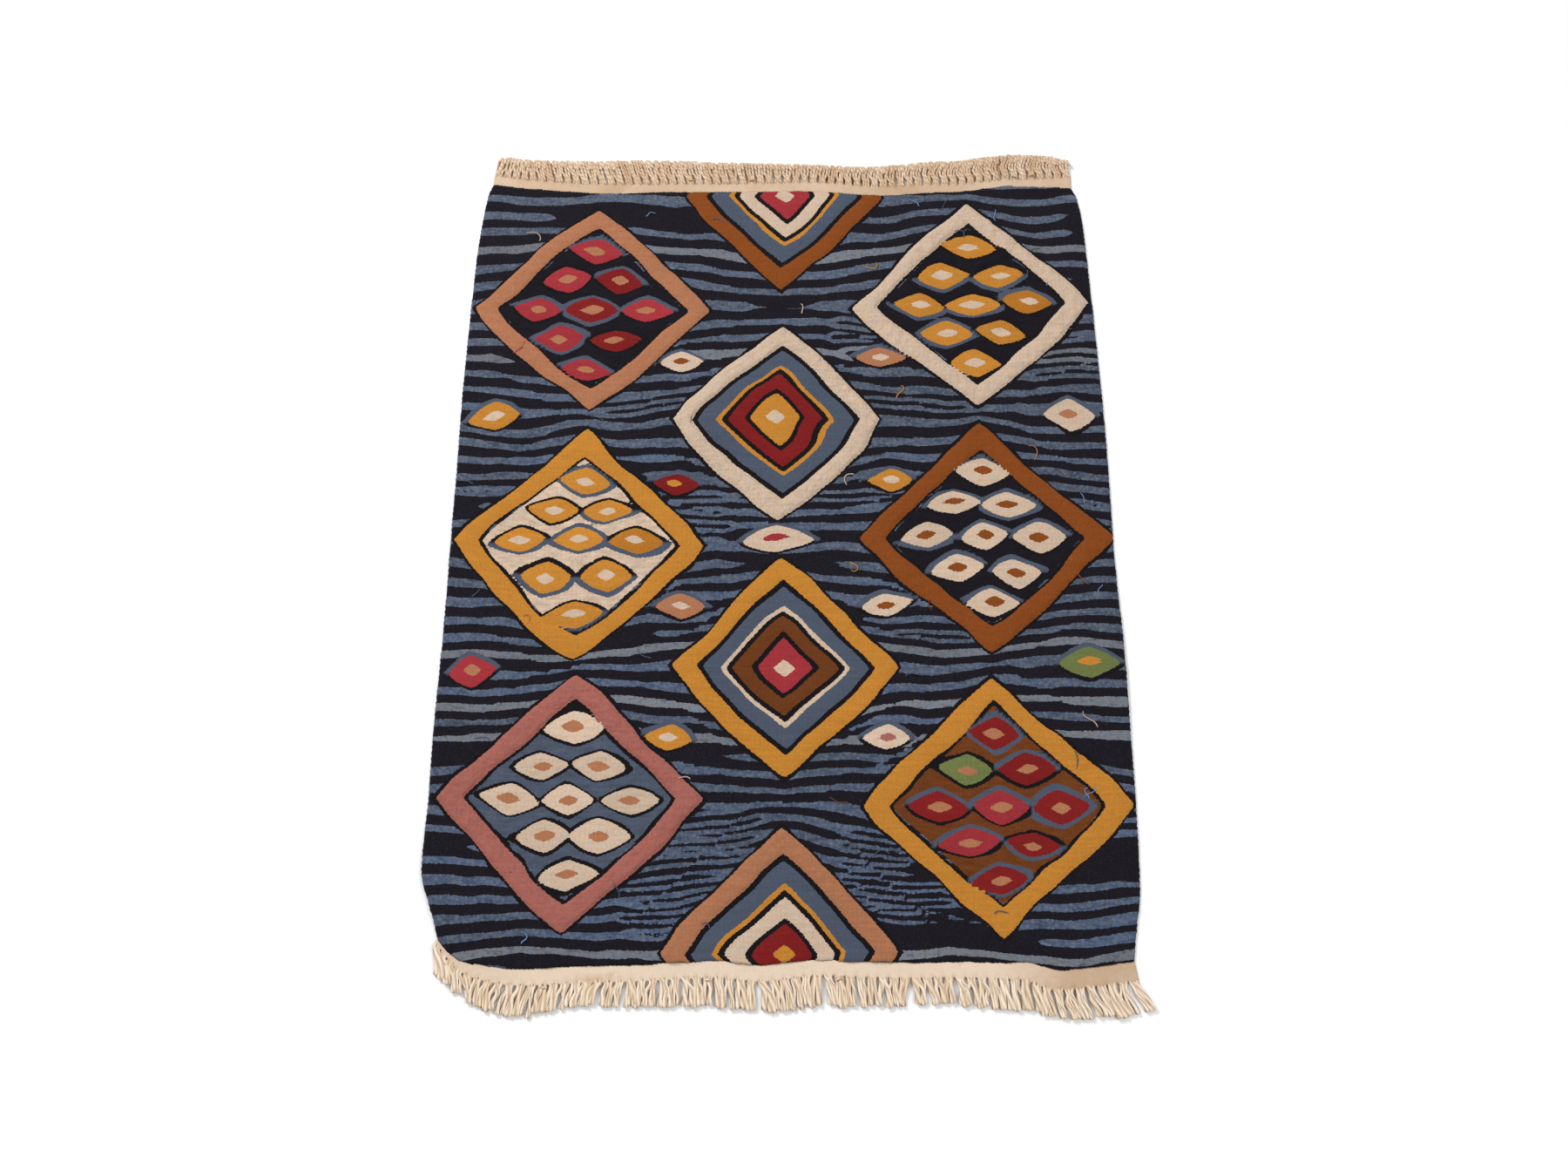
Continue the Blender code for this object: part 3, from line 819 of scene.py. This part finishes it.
def make_field():
    columns, rows = WARPS * 2, FIELD_ROWS
    across = np.linspace(0, 1, columns + 1)[None, :] * np.ones((rows + 1, 1))
    along = np.linspace(0, 1, rows + 1)[:, None] * np.ones((1, columns + 1))
    x, y = field_point(across, along)
    # Selvedges: the wefts turn round the last warp in small uneven loops.
    turn = 0.55 * np.sin(np.arange(rows + 1) * np.pi * 0.94) + 0.5 * value_noise(np.arange(rows + 1) / 3.1, 0.2, 31)
    for side, sign in ((0, -1), (-1, 1)):
        x[:, side] += sign * (0.6 * turn - 0.3)
        x[:, side + (1 if side == 0 else -1)] += sign * turn * 0.3
    # Ends: teeth where the last wefts cross the warps.
    reach = np.clip(1 - along * rows / 2, 0, 1)
    y -= reach * end_teeth(across, 41)
    reach = np.clip(1 - (1 - along) * rows / 2, 0, 1)
    y += reach * end_teeth(across, 42)

    design = Design(x, y)
    crest = np.where(np.arange(columns + 1) % 2 == 1, 0.5, -0.5)[None, :]
    loft = (
        RIB_HEIGHT * crest
        + 0.40 * value_noise(x / 38, y / 34, 51)
        + 0.34 * value_noise(x / 13, y / 11, 52)
        + 0.16 * value_noise(x / 5, y / 6, 53)
        + 0.42 * np.clip(-design.edge / 5, 0, 1)
        - 0.30 * np.exp(-(((design.edge - LINE / 2) / 1.6) ** 2))
    )
    lumps = np.abs(value_noise(x / 7.5, y / 8.5, 54)) + 0.6 * np.abs(value_noise(x / 4.1, y / 4.4, 55))
    on_band = np.clip(-design.edge / 2.5, 0, 1) * design.raised
    tucks = lift(x, y, PUCKERS) * (1.3 + 0.6 * value_noise(x / 4.5, y / 4.5, 58))
    loft = loft + on_band * (0.3 + 1.8 * lumps) + tucks * (1 - 0.8 * on_band)
    x = x + on_band * 0.8 * value_noise(x / 6, y / 6, 56)
    y = y + on_band * 0.8 * value_noise(x / 6, y / 6, 57)

    ground = lift(x, y)
    z = ground + FIELD_THICKNESS + loft
    # The selvedges are rounded.
    for side, step in ((0, 1), (-1, -1)):
        z[:, side] = ground[:, side] + 1.45
        z[:, side + step] = ground[:, side + step] + 2.55 + 0.5 * loft[:, side + step]
    faces, under_rows, under_columns = sheet_faces(rows, columns, 10, 10)
    ux, uy = x[np.ix_(under_rows, under_columns)], y[np.ix_(under_rows, under_columns)]
    ux = ux.copy()
    ux[:, 0] += 1.3
    ux[:, -1] -= 1.3
    uz = lift(ux, uy)
    top = world(x, y, z).reshape(-1, 3)
    under = world(ux, uy, uz).reshape(-1, 3)

    def both(values):
        flat = values.reshape(-1, *values.shape[2:])
        return np.concatenate([flat, values[np.ix_(under_rows, under_columns)].reshape(-1, *values.shape[2:])])

    # Each facet takes the flat colours of its own middle, so that a change of yarn is crisp.
    middle = Design(
        (x[:-1, :-1] + x[1:, 1:]) / 2, (y[:-1, :-1] + y[1:, 1:]) / 2
    )
    under_x = (ux[:-1, :-1] + ux[1:, 1:]) / 2
    under_y = (uy[:-1, :-1] + uy[1:, 1:]) / 2
    below = Design(under_x, under_y)
    walls = sum(len(f) for f in faces[2:])

    def by_face(key):
        first = getattr(middle, key).reshape(-1, 3)
        second = getattr(below, key).reshape(-1, 3)
        return np.concatenate([first, second, np.tile(YARN["ink"], (walls, 1))])

    uv = np.stack([both(across * WARPS), both(along * BEADS)], axis=-1)
    return mesh_object(
        "wool_field",
        np.concatenate([top, under]),
        faces,
        wool_material(),
        uv=uv,
        facts={
            "edge": both(design.edge),
            "core": both(design.core),
            "bed": both(design.bed),
            "streak": both(design.streak),
            "rim": both(design.rim),
            "raised": both(on_band),
        },
        colours={
            "line": both(design.line),
            **{key: by_face(key) for key in ("fill", "bar", "ground", "streak_colour")},
        },
    )


def outward(points, side, distance):
    """Plan points moved away from the rug, square to their run."""
    run = np.gradient(points, axis=0)
    run /= np.linalg.norm(run, axis=1, keepdims=True)
    normal = np.stack([-run[:, 1], run[:, 0]], axis=1) * side
    return points + normal * np.asarray(distance).reshape(-1, 1), normal


def end_run(which, count):
    """The field's woven end, without its teeth, at count + 1 points."""
    across = np.linspace(0, 1, count + 1)
    x, y = field_point(across, np.full(count + 1, 0.0 if which == "near" else 1.0))
    return across, np.stack([x, y], axis=1)


def make_heading(which, material):
    """A plain cotton band woven on the same warps, which gather into bunches at its outer edge."""
    side = -1 if which == "near" else 1
    columns, rows = WARPS * 4, 20
    across, run = end_run(which, columns)
    depth = smooth(ENDS, which + "_heading", across)
    _, normal = outward(run, side, np.zeros(len(run)))
    teeth = end_teeth(across, 41 if which == "near" else 42)
    share = np.linspace(0, 1, rows + 1)[:, None]
    length = np.concatenate([[0], np.cumsum(np.linalg.norm(np.diff(run, axis=0), axis=1))])
    bunch = length / length[-1] * TASSELS
    gather = 0.5 - 0.5 * np.cos(2 * np.pi * bunch)  # 1 in the middle of a bunch
    start = 0.12 + teeth
    stop = GAP + depth + 0.6 + 1.8 * (gather - 0.75)
    distance = start[None, :] + share * (stop - start)[None, :]
    x = run[:, 0][None, :] + normal[:, 0][None, :] * distance
    y = run[:, 1][None, :] + normal[:, 1][None, :] * distance
    crest = np.sin(np.pi * (across * WARPS % 1))[None, :]
    close = np.clip((share - 0.50) / 0.50, 0, 1) ** 1.6
    loft = (
        0.05 * (crest - 0.5)
        + 0.6 * close * (gather[None, :] - 0.55)
        + 0.22 * value_noise(x / 16, y / 9, 61)
        + 0.10 * value_noise(x / 4, y / 4, 62)
    )
    ground = lift(x, y)
    z = ground + HEADING_THICKNESS - 0.1 + loft
    rim = np.maximum(0, 1 - np.abs(share - 1) * rows / 1.0)
    z = z * (1 - rim) + (ground + 1.3) * rim
    z = np.where(share < 0.5 / rows, ground + 2.0 + 0.2 * crest, z)
    for edge, step in ((0, 1), (-1, -1)):
        z[:, edge] = ground[:, edge] + 1.2
    faces, under_rows, under_columns = sheet_faces(rows, columns, 10, 16)
    ux, uy = x[np.ix_(under_rows, under_columns)], y[np.ix_(under_rows, under_columns)]
    uz = lift(ux, uy)
    vertices = np.concatenate([world(x, y, z).reshape(-1, 3), world(ux, uy, uz).reshape(-1, 3)])
    if side < 0:
        faces = [f[:, ::-1] for f in faces]

    def both(values):
        values = np.broadcast_to(values, x.shape)
        return np.concatenate([values.reshape(-1), values[np.ix_(under_rows, under_columns)].reshape(-1)])

    uv = np.stack([both(across[None, :] * WARPS), both(distance / 1.15)], axis=-1)
    # Towards brown: the near band a little all over, more towards both ends, with one stain; the far band all over as
    # painted shade, more at two places along it.
    spot = 0.0
    if which == "near":
        spot = 0.55 * np.exp(-(((across - 0.225) / 0.028) ** 2))[None, :] * np.clip((share - 0.35) / 0.5, 0, 1)
        soil_and_shade = 0.06 + 0.85 * np.clip((across - 0.80) / 0.12, 0, 1) + 0.35 * np.clip((0.12 - across) / 0.12, 0, 1)
    else:
        soil_and_shade = 0.62 + 0.3 * np.exp(-(((across - 0.22) / 0.12) ** 2)) + 0.25 * np.exp(-(((across - 0.72) / 0.1) ** 2))
    # Painted shade in the valleys between the bunches at the outer edge.
    soil_and_shade = soil_and_shade[None, :] + spot + 0.30 * close * (1 - gather[None, :]) ** 1.5
    return mesh_object(
        "cotton_heading_" + which, vertices, faces, material, uv=uv, facts={"soil_and_shade": both(np.clip(soil_and_shade, 0, 1))}
    )


def tube(path, radius, sides, ply=0.0, twist=0.0, phase=0.0, tip=1.0, flat=1.0, plies=2):
    """A closed tube along plan points in mm: vertices, faces, and round/along coordinates. ply is how far its plies stand out."""
    path = np.asarray(path, float)
    steps = np.linalg.norm(np.diff(path, axis=0), axis=1)
    length = np.concatenate([[0], np.cumsum(steps)])
    forward = np.gradient(path, axis=0)
    forward /= np.linalg.norm(forward, axis=1, keepdims=True)
    aside = np.cross(forward, [0.0, 0.0, 1.0])
    upright = np.linalg.norm(aside, axis=1) < 1e-3
    aside[upright] = [1.0, 0.0, 0.0]
    aside /= np.linalg.norm(aside, axis=1, keepdims=True)
    above = np.cross(aside, forward)
    angle = np.linspace(0, 2 * np.pi, sides, endpoint=False)
    radius = np.broadcast_to(np.asarray(radius, float), (len(path),))
    turned = angle[None, :] - phase - twist * length[:, None]
    grow = 1 + np.broadcast_to(np.asarray(ply, float), (len(path),))[:, None] * np.cos(plies * turned)
    r = radius[:, None] * grow
    points = (
        path[:, None, :]
        + r[..., None] * (np.cos(angle)[None, :, None] * aside[:, None, :] + flat * np.sin(angle)[None, :, None] * above[:, None, :])
    )
    n = len(path)
    ring = np.arange(n * sides).reshape(n, sides)
    nxt = np.roll(ring, -1, axis=1)
    quads = np.stack([ring[:-1], nxt[:-1], nxt[1:], ring[1:]], axis=-1).reshape(-1, 4)
    start, end = n * sides, n * sides + 1
    first = np.stack([np.full(sides, start), nxt[0], ring[0]], axis=-1)
    last = np.stack([np.full(sides, end), ring[-1], nxt[-1]], axis=-1)
    vertices = np.concatenate(
        [points.reshape(-1, 3), [path[0] - forward[0] * radius[0] * 0.4], [path[-1] + forward[-1] * radius[-1] * 0.5 * tip]]
    )
    around = np.broadcast_to(angle[None, :] / (2 * np.pi), (n, sides)).reshape(-1)
    run = np.broadcast_to(length[:, None], (n, sides)).reshape(-1)
    uv = np.stack([np.append(around, [0, 0]), np.append(run, [0, length[-1]])], axis=-1)
    # Where the plies part; the cords' material paints shade there.
    groove = np.append((0.5 - 0.5 * np.cos(plies * turned)).reshape(-1), [0.5, 0.5])
    # How far round to the underside a point lies; the cords' material paints shade there.
    under = np.append(np.broadcast_to(0.5 - 0.5 * np.sin(angle)[None, :], (n, sides)).reshape(-1), [0.45, 0.45])
    return vertices, quads, np.concatenate([first, last]), uv, {"groove": groove, "under": under, "run": uv[:, 1]}


class Strands:
    """Many tubes gathered into one mesh."""

    def __init__(self):
        self.vertices, self.quads, self.tris, self.uv = [], [], [], []
        self.facts = {}
        self.count = 0

    def add(self, made, **facts):
        vertices, quads, tris, uv, own_facts = made
        self.vertices.append(vertices)
        self.quads.append(quads + self.count)
        self.tris.append(tris + self.count)
        self.uv.append(uv)
        facts.update(own_facts)
        for key, value in facts.items():
            value = np.asarray(value, float)
            if value.ndim == 1 and len(value) == 3 and key == "yarn":
                value = np.tile(value, (len(vertices), 1))
            elif value.ndim == 0:
                value = np.full(len(vertices), float(value))
            self.facts.setdefault(key, []).append(value)
        self.count += len(vertices)

    def build(self, name, material):
        plan = np.concatenate(self.vertices)
        facts = {k: np.concatenate(v) for k, v in self.facts.items()}
        colours = {k: facts.pop(k) for k in list(facts) if k == "yarn"}
        return mesh_object(
            name,
            world(plan[:, 0], plan[:, 1], plan[:, 2]),
            [np.concatenate(self.quads), np.concatenate(self.tris)],
            material,
            uv=np.concatenate(self.uv),
            facts=facts,
            colours=colours,
        )


def curve_through(points, count):
    """count + 1 points evenly along a smooth curve through plan points."""
    points = np.asarray(points, float)
    chords = np.concatenate([[0], np.cumsum(np.linalg.norm(np.diff(points, axis=0), axis=1))])
    chords /= chords[-1]
    Row = namedtuple("Row", "at x y z")
    rows = [Row(c, *p) for c, p in zip(chords, points)]
    at = np.linspace(0, 1, count + 1)
    return np.stack([smooth(rows, key, at) for key in ("x", "y", "z")], axis=-1)


def make_fringe(which, table, material):
    """The warp ends: each bunch closes in a small hitch at the heading, and its strands spread from there."""
    side = -1 if which == "near" else 1
    rng = np.random.default_rng(17 if which == "near" else 23)
    across, run = end_run(which, 640)
    edge, normal = outward(run, side, GAP + smooth(ENDS, which + "_heading", across))
    length = np.concatenate([[0], np.cumsum(np.linalg.norm(np.diff(edge, axis=0), axis=1))])
    pitch = length[-1] / TASSELS
    strands = Strands()
    down = np.array([0.0, float(side)])
    # Neighbouring bunches lie together, with a cleft before the next few.
    pulls, tilts, reaches = [], [], []
    while len(pulls) < TASSELS:
        size = int(rng.integers(2, 5))
        tilt, reach = rng.normal(0, 1.2), rng.uniform(0.95, 1.04)
        for k in range(size):
            pulls.append(((size - 1) / 2 - k) * 0.13 * pitch)
            tilts.append(tilt)
            reaches.append(reach)
    for i in range(TASSELS):
        share = (i + 0.5) / TASSELS
        at = share * length[-1]
        px, py = np.interp(at, length, edge[:, 0]), np.interp(at, length, edge[:, 1])
        nx, ny = np.interp(at, length, normal[:, 0]), np.interp(at, length, normal[:, 1])
        out = np.array([nx, ny]) / math.hypot(nx, ny)
        tangent = np.array([-out[1], out[0]]) * -side
        centre = np.array([px, py])
        reach = float(smooth(table, "length", share)) * (reaches[i] if which == "near" else 1.0)
        middle = float(smooth(table, "middle", share))
        lean = float(smooth(table, "lean", share))
        shade = rng.random()
        squeeze = rng.uniform(0.45, 0.8)
        drift = rng.normal(0, 0.5)
        if which == "near":
            drift += pulls[i] + tilts[i] * min(1.0, share / 0.06)
            count = 2 if rng.random() < 0.40 else 3
        else:
            count = 3
        # Some bunches keep a strand wound once round their neck.
        if rng.random() < (0.05 if which == "near" else 0.10):
            turns = np.linspace(-0.3 * np.pi, 1.35 * np.pi, 16)
            neck = centre + out * rng.uniform(1.4, 3.0)
            wide = rng.uniform(2.5, 3.1)
            tilt = rng.uniform(-1.3, 1.3)
            floor = float(lift(np.array(px), np.array(py)))
            wound = np.stack(
                [
                    neck[0] + tangent[0] * wide * np.cos(turns) + out[0] * tilt * np.cos(turns),
                    neck[1] + tangent[1] * wide * np.cos(turns) + out[1] * tilt * np.cos(turns),
                    floor + 2.7 + 1.3 * np.sin(turns),
                ],
                axis=-1,
            )
            # Its root fact adds a little painted shade.
            strands.add(tube(wound, 1.15, 8, ply=0.06, twist=0.5, phase=rng.random() * 6), own=shade, root=0.4)
        for c in range(count):
            place = c - (count - 1) / 2
            offset = place * pitch / count
            radius = (1.8 if count == 3 else 2.4) * rng.uniform(0.90, 1.10)
            if which == "far":
                radius = 1.55 * rng.uniform(0.90, 1.08)
            along = (reach + KNOT_DEPTH) * (rng.uniform(0.93, 1.06) if which == "near" else rng.uniform(0.97, 1.02))
            splay = offset * rng.uniform(0.8, 1.2) + rng.normal(0, 0.45)
            if rng.random() < (0.09 if which == "near" else 0.05):
                splay += rng.choice([-1, 1]) * rng.uniform(2.5, 4.5)
            wave = rng.normal(0, 0.55 if which == "near" else 0.3)
            lay = 1.0 * ((c + i) % 2) + rng.uniform(0, 0.5)
            spots = [(-4.6, offset * 1.0, 0.0, 0.95), (-1.2, offset * 0.95, 0.0, 1.45), (1.4, offset * (0.3 + 0.7 * squeeze), 0.0, 1.8)]
            if which == "near":
                spots += [
                    (along * 0.17, offset * squeeze + drift * 0.3, middle * 0.15, 2.0 + 0.5 * lay),
                    (along * 0.42, 0.6 * offset + 0.4 * splay + drift * 0.8 + wave, middle * 0.7, 1.8 + 0.6 * lay),
                    (along * 0.74, splay + drift - 0.4 * wave, 0.5 * (middle + lean), 1.7 + 0.6 * lay),
                    (along * 1.00, splay * 1.02 + drift, lean, 1.65 + 0.4 * lay),
                ]
            else:
                # Each turns over at the top and lies back on its neighbour.
                bend = rng.uniform(2.8, 4.0) * (1.0 if rng.random() < 0.35 + 0.6 * share else -0.8)
                back = rng.uniform(0.18, 0.42)
                spots += [
                    (along * 0.18, offset * squeeze + drift * 0.4, lean * 0.12, 2.0 + 0.4 * lay),
                    (along * 0.48, offset + drift * 0.7 - 0.15 * bend + wave, middle, 2.3 + 0.6 * lay),
                    (along * 0.80, offset + drift - 0.05 * bend, middle * 0.3 + lean * 0.65, 2.9 + 0.5 * lay),
                    (along * 0.94, offset + drift + 0.12 * bend, lean * 0.95, 3.3 + 0.3 * lay),
                    (along * 0.985, offset + drift + 0.45 * bend, lean, 3.5 + 0.2 * lay),
                    (along * 0.96, offset + drift + 0.80 * bend, lean, 3.8),
                    (along * (1 - back), offset + drift + 1.0 * bend, lean * 0.8, 3.9),
                ]
            points = []
            for forward, aside, sideways, height in spots:
                # Strands leave square to the edge and soon hang straight.
                turn = min(max(forward / 6.0, 0.0), 1.0) * (1.0 if which == "near" else 0.6)
                way = out * (1 - 0.5 * turn) + down * 0.5 * turn
                far_way = out * max(0.0, 1 - turn) + down * min(1.0, turn)
                way = 0.5 * (way + far_way)
                way /= np.linalg.norm(way)
                spot = centre + way * forward + tangent * aside + np.array([sideways, 0.0])
                ground = float(lift(np.array(spot[0]), np.array(spot[1])))
                points.append((*spot, ground + max(height, radius * 0.8 if forward > 0 else 0.9)))
            line = curve_through(points, 22 if which == "near" else 34)
            taper = np.ones(len(line))
            taper[:5] = (0.42, 0.52, 0.64, 0.78, 0.9)
            taper[-3:] *= (1.0, 0.97, 0.82)
            if which == "near":
                # Loosely laid strands, a little fuller and frayed at the tip.
                taper[-6:] *= (1.0, 1.04, 1.08, 1.12, 1.10, 1.04)
                ply = np.full(len(line), 0.10)
                ply[-4:] = (0.12, 0.16, 0.22, 0.30)
                made = tube(line, radius * taper, 15, ply=ply, twist=rng.uniform(0.05, 0.16), phase=rng.random() * 6, tip=0.4, flat=0.64, plies=3)
            else:
                made = tube(line, radius * taper, 10, ply=0.06, twist=rng.choice([0.5, 0.6]), phase=rng.random() * 6, flat=0.85)
            # Painted shade near the heading: root is 1 there and 0 from 9 mm along.
            strands.add(
                made,
                own=np.clip(0.35 * shade + 0.65 * rng.random(), 0, 1),
                root=np.clip(1 - made[4]["run"] / 9.0, 0, 1),
            )
    if which == "far":
        # A lower layer of strands fills the gaps between the cords; they take the deep colour and are darkened all
        # along as painted shade.
        for i in range(2 * TASSELS):
            share = (i + 0.5) / (2 * TASSELS)
            at = share * length[-1]
            foot = np.array([np.interp(at, length, edge[:, 0]), np.interp(at, length, edge[:, 1])])
            reach = (float(smooth(table, "length", share)) + KNOT_DEPTH) * rng.uniform(0.84, 0.95)
            lean = float(smooth(table, "lean", share)) + rng.normal(0, 2.0)
            if rng.random() < 0.09:
                continue
            points = [
                (foot[0], foot[1] - 2.0, 1.3),
                (foot[0] + 0.2 * lean, foot[1] + 0.3 * reach, 1.45),
                (foot[0] + 0.7 * lean, foot[1] + 0.7 * reach, 1.6),
                (foot[0] + lean, foot[1] + reach, 1.9),
            ]
            made = tube(curve_through(points, 14), 1.75 * rng.uniform(0.9, 1.1), 8, ply=0.05, twist=0.5, phase=rng.random() * 6, flat=0.7)
            strands.add(made, own=1.0, root=2.0)
    return strands.build("cotton_fringe_" + which, material)


# Loose yarn ends on the face: where each leaves the cloth, the way it points, its
# length and how far it curls round.
Tail = namedtuple("Tail", "x y heading length curl yarn")
TAILS = (
    Tail(-262, 352, 60, 26, 200, "ivory"),
    Tail(-118, 318, 15, 22, -120, "slate"),
    Tail(-60, 372, 140, 20, 90, "blue"),
    Tail(88, 322, -40, 24, 110, "gold"),
    Tail(170, 384, 75, 28, -60, "blue"),
    Tail(196, 352, 110, 22, 80, "slate"),
    Tail(262, 330, 100, 26, -130, "blue"),
    Tail(306, 244, 200, 20, 100, "slate"),
    Tail(-282, 214, 30, 21, 140, "crimson"),
    Tail(-96, 148, -70, 24, -100, "slate"),
    Tail(118, 160, 95, 20, 150, "gold"),
    Tail(72, 74, 180, 22, -80, "ivory"),
    Tail(256, 90, 60, 25, 120, "clay"),
    Tail(-312, 62, 150, 21, -100, "slate"),
    Tail(-84, 6, 20, 20, 110, "blue"),
    Tail(66, -22, -50, 23, -140, "gold"),
    Tail(292, -30, 250, 25, 90, "rust"),
    Tail(-250, -92, 80, 22, 100, "clay"),
    Tail(-126, -124, 165, 20, -90, "slate"),
    Tail(118, -142, 35, 26, 130, "blue"),
    Tail(300, -196, 95, 29, -160, "ivory"),
    Tail(276, -238, 70, 25, 90, "blue"),
    Tail(-296, -206, 15, 21, -120, "slate"),
    Tail(-86, -246, 110, 23, 110, "ivory"),
    Tail(44, -262, -20, 21, -100, "brown"),
    Tail(100, -316, 140, 24, 80, "blue"),
    Tail(-150, -356, 65, 22, -130, "blue"),
    Tail(-262, -330, 10, 20, 90, "slate"),
    Tail(210, -372, 160, 19, 120, "slate"),
    Tail(150, -60, 220, 20, 100, "wine"),
    Tail(226, 376, 62, 15, 40, "sky"),
    Tail(229, 374, 70, 13, -30, "sky"),
    Tail(243, 338, 118, 16, 50, "sky"),
    Tail(239, 336, 128, 12, -60, "sky"),
    Tail(256, 303, 40, 13, 70, "blue"),
    Tail(281, 296, 96, 12, -50, "sky"),
    Tail(-148, 384, 15, 12, 60, "sky"),
    Tail(148, 396, 100, 14, -40, "sky"),
    Tail(303, 40, 84, 13, 60, "sky"),
    Tail(311, -58, 120, 12, 40, "sky"),
    Tail(283, -262, 66, 16, 50, "sky"),
    Tail(287, -264, 88, 14, -70, "sky"),
    Tail(-236, -398, 60, 12, 50, "sky"),
    Tail(-66, -384, 110, 11, 60, "blue"),
    Tail(-306, -60, 30, 12, 60, "blue"),
    Tail(20, 262, 80, 12, 90, "ivory"),
)


def make_tails():
    rng = np.random.default_rng(5)
    strands = Strands()
    for tail in TAILS:
        steps = 14
        heading = math.radians(tail.heading)
        turn = math.radians(tail.curl) / steps
        reach = tail.length if tail.length < 18 else 9 + 0.5 * tail.length
        x, y = tail.x, tail.y
        points = []
        sway, pace = rng.uniform(-0.35, 0.35, 2), rng.uniform(2.0, 6.0)
        for k in range(steps + 1):
            t = k / steps
            ground = float(lift(np.array(x), np.array(y)))
            rise = FIELD_THICKNESS - 0.8 + 1.9 * math.sin(min(t * 1.5, 1) * math.pi * 0.55)
            points.append((x, y, ground + rise))
            x += math.cos(heading) * reach / steps
            y += math.sin(heading) * reach / steps
            heading += turn * (0.3 + 1.4 * t * t) + sway[0] * math.sin(pace * t + 6 * sway[1])
        line = curve_through(points, 26)
        radius = np.linspace(0.58, 0.34, len(line)) * rng.uniform(0.8, 1.2)
        strands.add(
            tube(line, radius, 8, ply=0.16, twist=1.0, phase=rng.random() * 6),
            yarn=YARN[tail.yarn],
        )
    return strands.build("loose_yarn_ends", yarn_material())


# ------------------------------------------------------------------- the pieces
field = make_field()
heading_near = make_heading("near", cotton_material("cotton_band_near", True))
heading_far = make_heading("far", cotton_material("cotton_band_far", True))
fringe_near = make_fringe(
    "near", NEAR_FRINGE, cord_material("cotton_cord_near", srgb("#fbeddb"), srgb("#e8d3b7"))
)
# The far cords take darker colours than the near ones, as painted shade.
fringe_far = make_fringe(
    "far", FAR_FRINGE, cord_material("cotton_cord_far", srgb("#ead6c0"), srgb("#cbad8d"))
)
tails = make_tails()

for piece, node, slot in (
    (field, "rug_field", "wool_field"),
    (heading_near, "heading_near", "cotton_heading"),
    (heading_far, "heading_far", "cotton_heading"),
    (fringe_near, "fringe_near", "cotton_fringe"),
    (fringe_far, "fringe_far", "cotton_fringe"),
):
    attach(piece, "root")
    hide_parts(node)
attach(tails, "root")

# ------------------------------------------------------------ floor, light, camera
floor_mesh = bpy.data.meshes.new("floor")
floor_mesh.from_pydata([(-6, -6, 0), (6, -6, 0), (6, 6, 0), (-6, 6, 0)], [], [(0, 1, 2, 3)])
floor = bpy.data.objects.new("floor", floor_mesh)
floor.location.z = -0.0002
bpy.context.scene.collection.objects.link(floor)
paint = Shade("floor_paint", roughness=0.8, specular=0.2)
paint.set("Base Color", (0.98, 0.98, 0.98))
floor_mesh.materials.append(paint.material)


def area_light(name, place, aim, size, power):
    lamp = bpy.data.lights.new(name, "AREA")
    lamp.shape = "DISK"
    lamp.size = size
    lamp.energy = power
    obj = bpy.data.objects.new(name, lamp)
    obj.location = place
    obj.rotation_mode = "QUATERNION"
    obj.rotation_quaternion = (Vector(aim) - Vector(place)).to_track_quat("-Z", "Y")
    bpy.context.scene.collection.objects.link(obj)


area_light("key", (-1.7, 1.6, 1.9), (0, 0, 0), 0.9, 55)
area_light("fill", (2.0, -1.2, 2.4), (0.5, -0.4, 0), 2.2, 29)

scene = bpy.context.scene
sky = bpy.data.worlds.new("studio")
sky.use_nodes = True
sky.node_tree.nodes["Background"].inputs["Color"].default_value = (1.0, 1.0, 1.0, 1.0)
sky.node_tree.nodes["Background"].inputs["Strength"].default_value = 0.58
scene.world = sky
scene.view_settings.view_transform = "Standard"
scene.view_settings.look = "None"
scene.view_settings.exposure = 0.0

# The photograph's view: 68 degrees down, with a normal lens.
PITCH = math.radians(68)
DISTANCE = 1.611
TARGET = Vector((SHIFT[0] + 0.0015, SHIFT[1] - 0.0495, 0.0))
lens = bpy.data.cameras.new("camera")
lens.sensor_width = 36.0
lens.lens = 1875 / 1800 * 36.0
camera = bpy.data.objects.new("camera", lens)
ahead = Vector((0, math.cos(PITCH), -math.sin(PITCH)))
camera.location = TARGET - ahead * DISTANCE
camera.rotation_mode = "QUATERNION"
camera.rotation_quaternion = ahead.to_track_quat("-Z", "Y")
scene.collection.objects.link(camera)
scene.camera = camera

bpy.context.view_layer.update()
